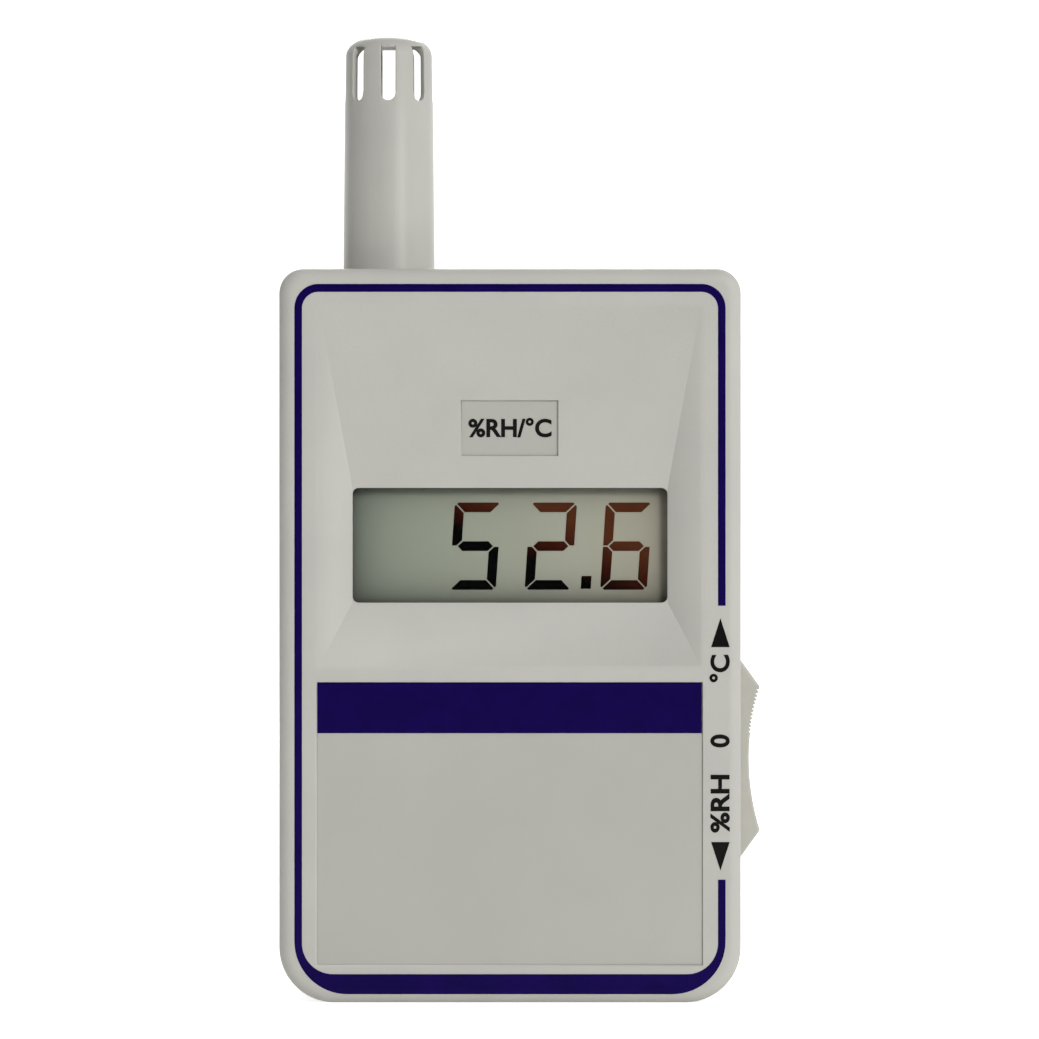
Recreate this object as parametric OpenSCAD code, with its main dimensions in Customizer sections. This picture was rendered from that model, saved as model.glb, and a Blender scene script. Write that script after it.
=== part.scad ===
// Handheld hygrometer: a two-shell housing with a sunken display, a slotted sensor tube on top,
// a slide switch at the right side and a battery behind a tilting cover at the back.
// It stands on its lower end. +Z runs up to the sensor tube, -Y out of the display, +X to the switch.
// The origin is the middle of the lower end, on the parting plane of the two shells.

/* [Housing] */
// Width across the sides
housing_w = 67; // [66.5:0.5:80]
// Height without the sensor tube
housing_h = 106.5; // [106:0.5:125]
// Depth of the front shell, from its front face to the parting plane
front_depth = 15; // [15:0.5:19]
// Depth of the rear shell, from the parting plane to its back face
rear_depth = 15; // [15:0.5:19]
// Thickness of the shells
wall = 2; // [1.8:0.1:2.2]
// Radius of the upper corners, seen from the front
corner_top_r = 3.6; // [3:0.1:6]
// Radius of the lower corners, seen from the front
corner_bottom_r = 8; // [6:0.5:10]
// Radius of the edge round the front face
front_edge_r = 1.8; // [0.8:0.1:2.4]
// Radius of the edge round the back face
rear_edge_r = 2.6; // [0.8:0.1:2.8]
// Thickness of the tongue that keys the shells
tongue_t = 0.9; // [0.7:0.1:1]
// Height of the tongue
tongue_h = 1.2; // [0.8:0.1:2]
// Width and depth of the groove along the parting line
seam = 0.3; // [0.1:0.05:0.5]

/* [Display recess] */
// Width of the recess at the front face
recess_w = 56; // [54:0.5:58]
// Height of the recess at the front face
recess_h = 52.5; // [50:0.5:53]
// Plain face above the recess
recess_top_margin = 5.4; // [5:0.2:7]
// Depth of the recess at the window
recess_depth = 3; // [2:0.1:3]
// Width of the window
window_w = 45.8; // [42:0.2:47]
// Height of the window
window_h = 16.7; // [15:0.1:18]
// Radius of the window's corners
window_r = 0.9; // [0.5:0.1:2]
// Slope below the window, measured up the front face
window_rise = 9.4; // [7:0.2:11]
// Wall round the window
window_wall = 1.2; // [1:0.1:1.3]
// Width of the pocket for the unit label
unit_pocket_w = 14; // [10:0.5:20]
// Height of the pocket for the unit label
unit_pocket_h = 8.1; // [6:0.1:10]
// Depth of the pocket for the unit label
unit_pocket_t = 0.4; // [0.2:0.1:0.6]
// Distance from the window's top edge to the pocket
unit_pocket_rise = 4.6; // [3:0.2:10]

/* [Label field] */
// Width of the sunken label field
label_w = 55.9; // [50:0.5:58]
// Plain face below the label field
label_margin = 5.55; // [4:0.1:9]
// Plain strip between the label field and the display recess
label_strip = 2.1; // [1:0.1:5]
// Depth of the label field
label_depth = 0.35; // [0.2:0.05:0.6]
// Thickness of the labels
label_t = 0.2; // [0.1:0.05:0.3]

/* [Display] */
// Thickness of the clear window pane
pane_t = 0.8; // [0.6:0.1:1]
// How far the pane reaches past the window
pane_lap = 2.2; // [1:0.1:3]
// Width of the liquid crystal cell
lcd_w = 50.8; // [49:0.2:52]
// Height of the rear glass, which carries the pins
lcd_rear_h = 30.48; // [28:0.2:31]
// Ledge of the rear glass above and below the front glass, for its contacts
lcd_ledge = 2.54; // [2.2:0.02:2.6]
// Thickness of each glass
lcd_glass_t = 1.1; // [0.7:0.1:1.1]
// Thickness of the reflector behind the cell
reflector_t = 0.15; // [0.1:0.05:0.2]
// Pins on each long edge of the cell
lcd_pins_per_row = 20; // [10:1:20]

/* [Circuit board] */
// Thickness of the circuit boards
board_t = 1.5; // [1:0.1:1.6]
// Gap from the side walls to the main board
board_side_gap = 2; // [1.5:0.1:3]
// Lower edge of the main board above the housing's lower end
board_low = 13; // [12.5:0.5:15]
// Gap from the reflector to the main board
board_front_gap = 0.25; // [0.2:0.05:0.5]
// Side of the square pins
pin_w = 0.5; // [0.4:0.05:0.6]
// Radius of the pin holes in the boards
pin_hole_r = 0.45; // [0.42:0.01:0.5]
// How far the soldered pins stand out behind the board
pin_stub = 0.6; // [0.3:0.1:0.6]
// Height of the converter chip's centre above the lower edge of the main board
chip_rise = 18; // [16:0.5:19]
// Pins on each side of the converter chip
chip_pins_per_row = 20; // [14:1:20]

/* [Sensor tube] */
// Distance of the tube's axis from the left side
tube_inset = 15.7; // [14.5:0.1:19]
// Length of the tube above the housing
tube_length = 34.7; // [30:0.5:50]
// Outer radius where the tube leaves the housing
tube_base_r = 6.7; // [6.2:0.1:7.5]
// Outer radius below the rounded tip
tube_tip_r = 6.4; // [6:0.1:7.4]
// Wall of the tube
tube_wall = 0.75; // [0.7:0.05:1.2]
// Width of the rounded shoulder at the tip
shoulder_w = 5.6; // [2:0.1:5.8]
// Height of the rounded shoulder
shoulder_h = 3; // [1.5:0.1:4]
// Number of air slots
slot_count = 8; // [6:2:10]
// Width of an air slot
slot_w = 2.1; // [1:0.1:2.4]
// Length of an air slot
slot_h = 8; // [5:0.5:10]
// Distance from the tip down to the slots' upper ends
slot_top_gap = 1.8; // [1.7:0.1:4]
// How far the collar inside the housing stands out
collar_w = 1.8; // [1:0.1:2]
// Height of the collar
collar_h = 2; // [1.5:0.1:2.5]
// Length of the tube below its collar
tube_tail = 2.6; // [2.4:0.1:2.8]
// Width of the sensor board
sensor_board_w = 8.4; // [7:0.1:9]
// Distance from the sensor board's top edge to the slots
sensor_board_gap = 4; // [3.5:0.1:8]

/* [Slide switch] */
// Height of the switch's middle position
switch_z = 37.7; // [36:0.1:40]
// Travel from one end position to the other
switch_travel = 5; // [3:0.5:6]
// Length of the knob
knob_l = 29.3; // [24:0.1:32]
// Depth of the knob, front to back
knob_d = 9; // [7:0.2:9]
// How far the knob's two crests stand out of the housing
knob_proud = 3; // [2:0.1:4]
// Distance between the crests
crest_gap = 21; // [14:0.2:22]
// Depth of the finger hollow between the crests
finger_hollow = 1.6; // [0.8:0.1:1.8]
// Spacing of the grip teeth
tooth_pitch = 0.55; // [0.5:0.05:1]
// Depth of the grip teeth
tooth_h = 0.4; // [0.1:0.05:0.5]
// Number of grip teeth
tooth_count = 12; // [0:1:14]
// Thickness of the knob's dust plate
dust_plate_t = 1.2; // [0.8:0.1:1.2]
// How far the dust plate laps the opening on each side
dust_plate_lap = 1.5; // [1:0.1:2]
// Length of the switch case
switch_l = 20; // [18:0.2:21]
// Thickness of the switch case above the board
switch_h = 6.6; // [5.6:0.1:6.6]
// Thickness of the case's sheet metal
switch_sheet = 0.5; // [0.3:0.1:0.6]
// Length of the lever along its travel
lever_l = 3; // [2:0.1:4]
// Thickness of the lever
lever_t = 2; // [1.5:0.1:2.4]

/* [Battery] */
// Width of the block battery
battery_w = 26.4; // [25.5:0.1:26.5]
// Height of its case without the terminals
battery_h = 45.8; // [44.5:0.1:46]
// Thickness of the block battery
battery_t = 16.9; // [15.5:0.1:16.9]
// Lower end of the battery above the housing's lower end
battery_low = 7.6; // [7.4:0.1:8.4]
// Distance between its two terminals
terminal_gap = 12.7; // [12:0.1:13]
// Radius of the smaller terminal
stud_r = 2.85; // [2.7:0.05:2.9]
// Outer radius of the larger terminal
socket_r = 4.2; // [4:0.1:4.4]
// Height of the terminals
terminal_h = 2.8; // [2.4:0.1:3]
// Thickness of the battery clip
clip_t = 2.6; // [2:0.1:3]
// Walls of the battery compartment
cell_wall = 1; // [0.8:0.1:1.2]
// Floor of the battery compartment
cell_floor = 0.8; // [0.6:0.05:0.8]
// Radius of the leads
lead_r = 0.75; // [0.5:0.05:0.9]

/* [Battery cover] */
// Thickness of the cover
cover_t = 1.8; // [1.6:0.1:1.8]
// Width of the ledge that the cover rests on
ledge_w = 1.9; // [1.5:0.1:2.4]
// Thickness of the ledge
ledge_t = 1.3; // [1:0.1:1.6]
// Lower edge of the cover above the housing's lower end
cover_low = 4.5; // [4.2:0.1:5]
// Upper edge of the cover above the housing's lower end
cover_high = 60.5; // [59.5:0.5:62]
// Thickness of the hooks at the cover's lower edge
hook_t = 0.9; // [0.7:0.1:1]
// Width of each hook
hook_w = 5; // [3:0.5:6]
// Distance between the two hooks
hook_gap = 17; // [12:0.5:20]
// Width of the latch tongue
latch_w = 10; // [8:0.5:14]
// Length of the latch tongue
latch_l = 12; // [8:0.5:16]
// Width of the slits beside the latch tongue
slit_w = 0.8; // [0.5:0.1:1]
// Radius of the finger notch above the cover
notch_r = 7; // [5:0.5:9]
// Depth of the finger notch
notch_depth = 1.1; // [0.6:0.1:1.2]

/* [Fasteners] */
// Outer radius of the bosses for the housing screws
boss_r = 3.9; // [3.6:0.1:4.2]
// Distance of the housing screws from the sides
boss_inset = 5.5; // [5.2:0.1:6]
// Height of the lower housing screws
boss_low = 8; // [7.6:0.1:8.4]
// Distance of the upper housing screws from the upper end
boss_top_gap = 9; // [8.6:0.1:9.6]
// Radius of the housing screws' shanks
screw_r = 1.4; // [1.2:0.05:1.5]
// Radius of the housing screws' heads
screw_head_r = 2.7; // [2.4:0.1:2.8]
// Height of the housing screws' heads
screw_head_h = 1.9; // [1.5:0.1:2.2]
// Length of the housing screws below the head
screw_l = 13; // [10:0.5:16]
// Depth of the screw wells in the back face
screw_well = 9.5; // [6:0.5:10]
// Outer radius of the posts that carry the main board
post_r = 2.5; // [2:0.1:2.8]
// Distance of the posts from the sides
post_inset = 8.5; // [8.1:0.2:9.5]
// Height of the lower posts
post_low = 19; // [17.5:0.5:20]
// Distance of the upper posts below the board's upper edge
post_top_gap = 10; // [9.5:0.5:11]
// Radius of the board screws' shanks
board_screw_r = 1; // [0.8:0.1:1.1]
// Length of the board screws
board_screw_l = 6; // [4:0.5:7]

/* [Fits] */
// Gap between pieces that are fitted together
fit_gap = 0.15; // [0.1:0.05:0.2]
// Gap round pieces that move
slide_gap = 0.3; // [0.25:0.05:0.4]
// Radial gap of screws and pins in their holes
hole_gap = 0.05; // [0.03:0.01:0.08]

/* [Hidden] */
$fn = 64;

// Colours of the pieces
shell_grey = [0.75, 0.74, 0.72];
label_grey = [0.72, 0.71, 0.68];
board_green = [0.12, 0.35, 0.2];
chip_black = [0.08, 0.08, 0.09];
tin = [0.78, 0.78, 0.78];
lcd_green = [0.56, 0.58, 0.52];

// How far a cut runs past the surface that it opens
over = 1;
// How far a rib or boss sinks into the wall that carries it
sink = 0.2;
// Play between pieces that lie beside each other without touching
play = 0.2;
// Smallest radius left in a drawn-in corner
least_r = 0.6;
// Standard pin spacing
pin_spacing = 2.54;

// Faces and heights of the housing
half_w = housing_w / 2;
front_y = -front_depth;
back_y = rear_depth;
front_inner_y = front_y + wall;
back_inner_y = back_y - wall;
boss_high = housing_h - boss_top_gap;
boss_x = half_w - boss_inset;
post_x = half_w - post_inset;
screw_seat_y = back_y - screw_well;

// Display recess and window
recess_high = housing_h - recess_top_margin;
recess_low = recess_high - recess_h;
window_low = recess_low + window_rise;
window_high = window_low + window_h;
window_z = (window_low + window_high) / 2;
slope_angle = atan(recess_depth / (recess_high - window_high));
unit_pocket_z = window_high + unit_pocket_rise + unit_pocket_h / 2;
seat_y = front_y + recess_depth + window_wall;
seat_lap = pane_lap + 1.1;
backing_rim = 1;
backing_lap = 3;
label_high = recess_low - label_strip;

// Stack behind the window, front to back
pane_gap = 0.1;
lcd_y = seat_y + pane_t + pane_gap;
lcd_mid_y = lcd_y + lcd_glass_t;
reflector_y = lcd_mid_y + lcd_glass_t;
board_y = reflector_y + reflector_t + board_front_gap;
board_back_y = board_y + board_t;
board_half_w = half_w - wall - board_side_gap;
lcd_front_h = lcd_rear_h - 2 * lcd_ledge;
lcd_clip = 0.75 * lcd_ledge;
lcd_row_z = (lcd_rear_h - lcd_ledge) / 2;

// Sensor tube
tube_x = tube_inset - half_w;
tip_z = housing_h + tube_length;
shoulder_z = tip_z - shoulder_h;
slot_high = tip_z - slot_top_gap;
slot_low = slot_high - slot_h;
collar_high = housing_h - wall - play;
collar_low = collar_high - collar_h;
tube_low = collar_low - tube_tail;
cradle_high = collar_low - play;
cradle_t = 1.8;
cradle_rim = 2.8;
tube_hole_gap = 0.08;
board_top_gap = 0.8;
board_high = cradle_high - cradle_t - board_top_gap;
tube_inner_base_r = tube_base_r - tube_wall;
tube_inner_tip_r = tube_tip_r - tube_wall;
shoulder_steps = 8;
tip_wall = 1.2;

// Main board's parts
chip_z = board_low + chip_rise;
chip_x = -2;
chip_body_w = 13.2;
chip_row_z = 3 * pin_spacing;
chip_h = 3.8;
chip_lift = 0.4;
leg_t = 0.3;
post_high = board_high - post_top_gap;

// Sensor board, on the tube's axis
sensor_board_t = 1;
sensor_board_lap = 13.5;
sensor_board_low = board_high - sensor_board_lap;
sensor_board_high = slot_low - sensor_board_gap;
header_rise = 3;
header_z = sensor_board_low + header_rise;
header_pins = 3;
header_t = 2.5;

// Slide switch: the stored position is the lower end of its travel
switch_y = board_back_y + switch_h / 2;
rest_z = switch_z - switch_travel / 2;
case_gap = 2.1;
case_w = 4.2;
case_x = [half_w - wall - case_gap - case_w, half_w - wall - case_gap];
base_t = 1.2;
base_x = case_x[0] - base_t;
carriage_x = [case_x[0] + 2 * play, case_x[1] - switch_sheet - fit_gap];
carriage_l = 9;
lever_drop = 0.7;
lever_tip_x = half_w - lever_drop;
knob_opening = [rest_z - knob_l / 2 - slide_gap, rest_z + knob_l / 2 + switch_travel + slide_gap];
plate_x = half_w - wall - slide_gap - dust_plate_t;
hollow_r = (pow(crest_gap / 2, 2) + pow(finger_hollow, 2)) / (2 * finger_hollow);
hollow_x = half_w + knob_proud - finger_hollow + hollow_r;

// Battery compartment, from the cover inwards
cover_inner_y = back_y - cover_t;
battery_y = [cover_inner_y - slide_gap - battery_t, cover_inner_y - slide_gap];
battery_r = 2;
battery_side_gap = 0.8;
cell_y = battery_y[0] - play / 2;
cell_half_w = battery_w / 2 + battery_side_gap;
cell_low = battery_low - play;
battery_high = battery_low + battery_h;
clip_z = battery_high + terminal_h + play;
clip_room = 1.4;
cell_high = clip_z + clip_t + clip_room;
cover_half_w = cell_half_w + ledge_w;
rim_w = 1.6;
hook_reach = 1.5;
hook_neck_rise = 0.4;
hook_neck_t = 1.3;
hook_neck = [cover_low + hook_neck_rise, cover_low + hook_neck_rise + hook_neck_t];
hook_y = back_inner_y - play / 2 - hook_t;
hook_low = cover_low - hook_reach;
pocket_room = 0.8;
pocket_y = hook_y - pocket_room;
pocket_low = hook_low - 2 * play;
lead_y = 5;
lead_x = [8, 11.4];
lead_room = 0.8;
lead_bend_r = 3;
lead_rise = 1.2;
lead_bend_z = cell_high + cell_wall + lead_rise;

// Screws: depth left below their tips, clearance through the rear shell, drives and heads
tip_gap = 0.5;
screw_clearance = 0.3;
cross_l = 3;
cross_t = 0.7;
cross_depth = 1.1;
board_head_r = board_screw_r + 0.9;
board_head_h = 1.3;
board_slot_t = 0.5;
board_slot_depth = 0.6;

// Range of a size about a middle
function span(size, middle = 0) = [middle - size / 2, middle + size / 2];

// Box between two corners given as ranges
module block(x, y, z)
  translate([x[0], y[0], z[0]])
    cube([x[1] - x[0], y[1] - y[0], z[1] - z[0]]);

// Round bar along Y between two depths
module bar_y(x, z, r, y)
  translate([x, y[0], z])
    rotate([-90, 0, 0])
      cylinder(r = r, h = y[1] - y[0]);

// Outline in X and Z, drawn out along Y
module along_y(y)
  translate([0, y[1], 0])
    rotate([90, 0, 0])
      linear_extrude(y[1] - y[0])
        children();

// Outline in Y and Z, drawn out along X
module along_x(x)
  translate([x[0], 0, 0])
    rotate([90, 0, 90])
      linear_extrude(x[1] - x[0])
        children();

// Rectangle with round corners, about its centre
module rounded_rect(w, h, r) {
  a = w / 2;
  b = h / 2;
  polygon([
    [-a, r - b], [r - a, -b], [a - r, -b], [a, r - b],
    [a, b - r], [a - r, b], [r - a, b], [-a, b - r]
  ]);
  for (sx = [-1, 1])
    for (sy = [-1, 1])
      translate([sx * (a - r), sy * (b - r)])
        circle(r);
}

// Outline of the housing seen from the front, drawn in by an inset
module housing_outline(inset = 0) {
  a = half_w - inset;
  low = inset;
  high = housing_h - inset;
  low_r = max(corner_bottom_r - inset, least_r);
  high_r = max(corner_top_r - inset, least_r);
  polygon([
    [-a, low + low_r], [low_r - a, low], [a - low_r, low], [a, low + low_r],
    [a, high - high_r], [a - high_r, high], [high_r - a, high], [-a, high - high_r]
  ]);
  for (side = [-1, 1]) {
    translate([side * (a - low_r), low + low_r])
      circle(low_r);
    translate([side * (a - high_r), high - high_r])
      circle(high_r);
  }
}

// Cutter that rounds the straight edge from a to b, with the block on its left
module edge_cutter(a, b, r) {
  v = b - a;
  translate([a[0], a[1], 0])
    rotate([0, 0, atan2(v[1], v[0])])
      difference() {
        translate([0, -over, -over])
          cube([norm(v), r + over, r + over]);
        translate([-over, r, r])
          rotate([0, 90, 0])
            cylinder(r = r, h = norm(v) + 2 * over);
      }
}

// Cutter that rounds a corner of radius corner_r about c, starting at an angle
module corner_cutter(c, corner_r, r, start)
  translate([c[0], c[1], 0])
    rotate([0, 0, start])
      rotate_extrude(angle = 90)
        difference() {
          translate([corner_r - r, -over])
            square([r + over, r + over]);
          translate([corner_r - r, r])
            circle(r);
        }

// Housing outline drawn out to a depth, with a rounded edge round its lower face
module rounded_half(depth, r) {
  low = corner_bottom_r;
  high = housing_h - corner_top_r;
  low_x = half_w - corner_bottom_r;
  high_x = half_w - corner_top_r;
  difference() {
    linear_extrude(depth)
      housing_outline();
    edge_cutter([-low_x, 0], [low_x, 0], r);
    edge_cutter([half_w, low], [half_w, high], r);
    edge_cutter([high_x, housing_h], [-high_x, housing_h], r);
    edge_cutter([-half_w, high], [-half_w, low], r);
    corner_cutter([-low_x, low], corner_bottom_r, r, 180);
    corner_cutter([low_x, low], corner_bottom_r, r, 270);
    corner_cutter([high_x, high], corner_top_r, r, 0);
    corner_cutter([-high_x, high], corner_top_r, r, 90);
  }
}

// Places of the four housing screws and of the four board screws
module at_housing_screws()
  for (side = [-1, 1])
    for (z = [boss_low, boss_high])
      translate([side * boss_x, 0, z])
        children();

module at_posts()
  for (side = [-1, 1])
    for (z = [post_low, post_high])
      translate([side * post_x, 0, z])
        children();

// Opening for the switch knob, through the side wall
module knob_slot()
  block(
    [half_w - wall - over, half_w + over],
    [switch_y - knob_d / 2 - slide_gap, switch_y + knob_d / 2 + slide_gap],
    knob_opening
  );

// Round opening for the sensor tube, through the upper wall
module tube_hole()
  translate([tube_x, 0, cradle_high - cradle_t - over])
    cylinder(r = tube_base_r + tube_hole_gap, h = housing_h);

// Half of the cradle that holds the tube below its collar
module tube_cradle(y) {
  w = tube_base_r + cradle_rim;
  block([tube_x - w, tube_x + w], y, [cradle_high - cradle_t, cradle_high]);
}

// Width and heights of the display recess at a depth below the front face
function recess_half(d) = recess_w / 2 - (recess_w - window_w) / 2 * d / recess_depth;
function recess_floor(d) = recess_low + (window_low - recess_low) * d / recess_depth;
function recess_roof(d) = recess_high - (recess_high - window_high) * d / recess_depth;

// Solid with four sloping sides between two depths, given its width and heights at each
module sloped_solid(d, half, low, high)
  intersection() {
    translate([0, front_y, low[0] - over])
      linear_extrude(high[0] - low[0] + 2 * over)
        polygon([[-half[0], d[0]], [half[0], d[0]], [half[1], d[1]], [-half[1], d[1]]]);
    translate([0, front_y, 0])
      along_x([-half[0] - over, half[0] + over])
        polygon([[d[0], low[0]], [d[1], low[1]], [d[1], high[1]], [d[0], high[0]]]);
  }

// Cut that sinks the display recess into the front face
module recess_cut() {
  d = [-over, recess_depth];
  sloped_solid(
    d,
    [recess_half(d[0]), recess_half(d[1])],
    [recess_floor(d[0]), recess_floor(d[1])],
    [recess_roof(d[0]), recess_roof(d[1])]
  );
}

// Material behind the recess, which carries the window pane
module recess_backing()
  sloped_solid(
    [wall - sink, recess_depth + window_wall],
    [recess_w / 2 + backing_rim, window_w / 2 + seat_lap],
    [recess_low - backing_rim, window_low - seat_lap],
    [recess_high - backing_lap, window_high + seat_lap]
  );

// Frame in which the upper slope of the recess is the plane y = 0
module on_upper_slope(z)
  translate([0, front_y + recess_depth * (recess_high - z) / (recess_high - window_high), z])
    rotate([slope_angle, 0, 0])
      children();

// Front shell with the display recess, window, label field and posts
module front_shell() {
  color(shell_grey)
    difference() {
      union() {
        difference() {
          translate([0, front_y, 0])
            mirror([0, 1, 0])
              rotate([90, 0, 0])
                rounded_half(front_depth, front_edge_r);
          along_y([front_inner_y, over])
            housing_outline(wall);
        }
        recess_backing();
        along_y([-over, tongue_h])
          difference() {
            housing_outline(wall - tongue_t);
            housing_outline(wall);
          }
        at_housing_screws()
          bar_y(0, 0, boss_r, [front_inner_y - sink, 0]);
        at_posts()
          bar_y(0, 0, post_r, [front_inner_y - sink, board_y]);
        tube_cradle([front_inner_y - sink, -hole_gap]);
      }
      recess_cut();
      translate([0, 0, window_z])
        along_y([front_y, seat_y + over])
          rounded_rect(window_w, window_h, window_r);
      on_upper_slope(unit_pocket_z)
        block(span(unit_pocket_w), [-over, unit_pocket_t], span(unit_pocket_h));
      block(span(label_w), [front_y - over, front_y + label_depth], [label_margin, label_high]);
      at_housing_screws()
        bar_y(0, 0, screw_r + hole_gap, [screw_seat_y - screw_l - tip_gap, over]);
      at_posts()
        bar_y(0, 0, board_screw_r + hole_gap, [board_back_y - board_screw_l - tip_gap, 0]);
      tube_hole();
      knob_slot();
    }
}

// Hollow of the battery compartment, with the pocket for the cover's hooks below it
module cell_hollow() {
  block([-cell_half_w, cell_half_w], [cell_y, back_y], [cell_low, cover_high - ledge_w]);
  block([-cell_half_w, cell_half_w], [cell_y, cover_inner_y - ledge_t], [cell_low, cell_high]);
  block([-cell_half_w, cell_half_w], [pocket_y, back_inner_y], [pocket_low, cell_low + over]);
  block([-cell_half_w, cell_half_w], [pocket_y, back_y], [cover_low, cell_low + over]);
}

// Walls of the battery compartment and the ledge for its cover
module cell_walls() {
  outer = cell_half_w + cell_wall;
  deep = back_inner_y + sink;
  block([-outer, outer], [cell_y - cell_floor, deep], [cell_low - cell_wall, cell_high + cell_wall]);
  block([-outer, outer], [pocket_y - cell_wall, deep], [wall - sink, cell_low]);
  block(
    [-cover_half_w - rim_w, cover_half_w + rim_w],
    [cover_inner_y - ledge_t, deep],
    [wall - sink, cover_high + rim_w]
  );
}

// Rear shell with the battery compartment and the screw wells
module rear_shell() {
  color(shell_grey)
    difference() {
      union() {
        difference() {
          translate([0, back_y, 0])
            rotate([90, 0, 0])
              rounded_half(rear_depth, rear_edge_r);
          along_y([-over, back_inner_y])
            housing_outline(wall);
        }
        cell_walls();
        at_housing_screws()
          bar_y(0, 0, boss_r, [0, back_inner_y + sink]);
        tube_cradle([hole_gap, back_inner_y + sink]);
      }
      along_y([-over, tongue_h + fit_gap])
        difference() {
          housing_outline(wall - tongue_t - fit_gap);
          housing_outline(wall + fit_gap);
        }
      along_y([-over, seam])
        difference() {
          housing_outline(-over);
          housing_outline(seam);
        }
      cell_hollow();
      block(
        [-cover_half_w - fit_gap, cover_half_w + fit_gap],
        [cover_inner_y, back_y + over],
        [cover_low, cover_high]
      );
      at_housing_screws() {
        bar_y(0, 0, screw_r + screw_clearance, [-over, back_y]);
        bar_y(0, 0, screw_head_r + play, [screw_seat_y, back_y + over]);
      }
      translate([0, back_y - notch_depth, cover_high])
        rotate([-90, 0, 0])
          cylinder(r1 = notch_r - notch_depth, r2 = notch_r + over, h = notch_depth + over);
      block(
        [lead_x[0] - lead_r - lead_room, lead_x[1] + lead_r + lead_room],
        [lead_y - lead_r - lead_room, lead_y + lead_r + lead_room],
        [cell_high - over, cell_high + cell_wall + over]
      );
      tube_hole();
      knob_slot();
    }
}

// Four self-tapping screws that join the shells
module housing_screws() {
  top = screw_seat_y + screw_head_h;
  color(tin)
    at_housing_screws() {
      bar_y(0, 0, screw_r, [screw_seat_y - screw_l, screw_seat_y]);
      difference() {
        bar_y(0, 0, screw_head_r, [screw_seat_y, top]);
        for (turn = [0, 90])
          rotate([0, turn, 0])
            block(span(cross_l), [top - cross_depth, top + over], span(cross_t));
      }
    }
}

// Clear pane glued behind the window
module display_window() {
  color([0.85, 0.88, 0.86, 0.35])
    translate([0, 0, window_z])
      along_y([seat_y, seat_y + pane_t])
        rounded_rect(window_w + 2 * pane_lap, window_h + 2 * pane_lap, window_r);
}

// Two glasses of the liquid crystal cell, the rear one taller for its contacts
module lcd_front_glass() {
  color(lcd_green)
    block(span(lcd_w), [lcd_y, lcd_mid_y], span(lcd_front_h, window_z));
}

module lcd_rear_glass() {
  color(lcd_green)
    block(span(lcd_w), [lcd_mid_y, reflector_y], span(lcd_rear_h, window_z));
}

// Reflector foil behind the cell
reflector_inset = 1;

module lcd_reflector() {
  color([0.7, 0.7, 0.66])
    block(
      [reflector_inset - lcd_w / 2, lcd_w / 2 - reflector_inset],
      [reflector_y, reflector_y + reflector_t],
      span(lcd_front_h, window_z)
    );
}

// Places along one row of pins, centred on x = 0
module pin_row(count)
  for (i = [0 : count - 1])
    translate([(i - (count - 1) / 2) * pin_spacing, 0, 0])
      children();

// Pins that clip round the rear glass and pass through the main board
module lcd_pins() {
  edge = lcd_rear_h / 2;
  color(tin)
    for (side = [-1, 1])
      translate([0, 0, window_z])
        mirror([0, 0, side < 0 ? 1 : 0])
          pin_row(lcd_pins_per_row) {
            block(span(pin_w), [lcd_mid_y - leg_t, lcd_mid_y], [edge - lcd_clip, edge + leg_t]);
            block(span(pin_w), [lcd_mid_y - leg_t, reflector_y + leg_t], [edge, edge + leg_t]);
            block(span(pin_w), [reflector_y, reflector_y + leg_t], [lcd_row_z - leg_t / 2, edge + leg_t]);
            block(
              span(pin_w),
              [reflector_y, board_back_y + pin_stub],
              span(leg_t, lcd_row_z)
            );
          }
}

// Adhesive label in the sunken field
module front_label() {
  color(label_grey)
    block(
      [fit_gap - label_w / 2, label_w / 2 - fit_gap],
      [front_y + label_depth - label_t, front_y + label_depth],
      [label_margin + fit_gap, label_high - fit_gap]
    );
}

// Adhesive label in the pocket above the window
module unit_label() {
  w = unit_pocket_w / 2 - fit_gap;
  h = unit_pocket_h / 2 - fit_gap;
  color(label_grey)
    on_upper_slope(unit_pocket_z)
      block([-w, w], [unit_pocket_t - label_t, unit_pocket_t], [-h, h]);
}

// Main circuit board with notches for the bosses and holes for screws and pins
module main_board() {
  y = [board_y - over, board_back_y + over];
  notch = boss_r + 2 * play;
  reach = boss_r + board_side_gap + wall;
  color(board_green)
    difference() {
      block([-board_half_w, board_half_w], [board_y, board_back_y], [board_low, board_high]);
      for (side = [0, 1])
        mirror([side, 0, 0])
          translate([boss_x, 0, boss_high]) {
            bar_y(0, 0, notch, y);
            block([0, reach], y, [-notch, reach]);
            block([-notch, reach], y, [0, reach]);
          }
      at_posts()
        bar_y(0, 0, board_screw_r + play, y);
      for (side = [-1, 1]) {
        translate([0, 0, window_z + side * lcd_row_z])
          pin_row(lcd_pins_per_row)
            bar_y(0, 0, pin_hole_r, y);
        translate([chip_x, 0, chip_z + side * chip_row_z])
          pin_row(chip_pins_per_row)
            bar_y(0, 0, pin_hole_r, y);
      }
    }
}

// Four screws that hold the main board on its posts
module board_screws() {
  top = board_back_y + board_head_h;
  color(tin)
    at_posts() {
      bar_y(0, 0, board_screw_r, [board_back_y - board_screw_l, board_back_y]);
      difference() {
        bar_y(0, 0, board_head_r, [board_back_y, top]);
        block(
          [-board_head_r - over, board_head_r + over],
          [top - board_slot_depth, top + over],
          span(board_slot_t)
        );
      }
    }
}

// Moulded body of a chip that lies against a board, with its marker notch
marker_r = 0.8;
marker_depth = 0.6;

module chip_body(length, width, height)
  difference() {
    block(span(length), [0, height], span(width));
    bar_y(-length / 2, 0, marker_r, [height - marker_depth, height + over]);
  }

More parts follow.
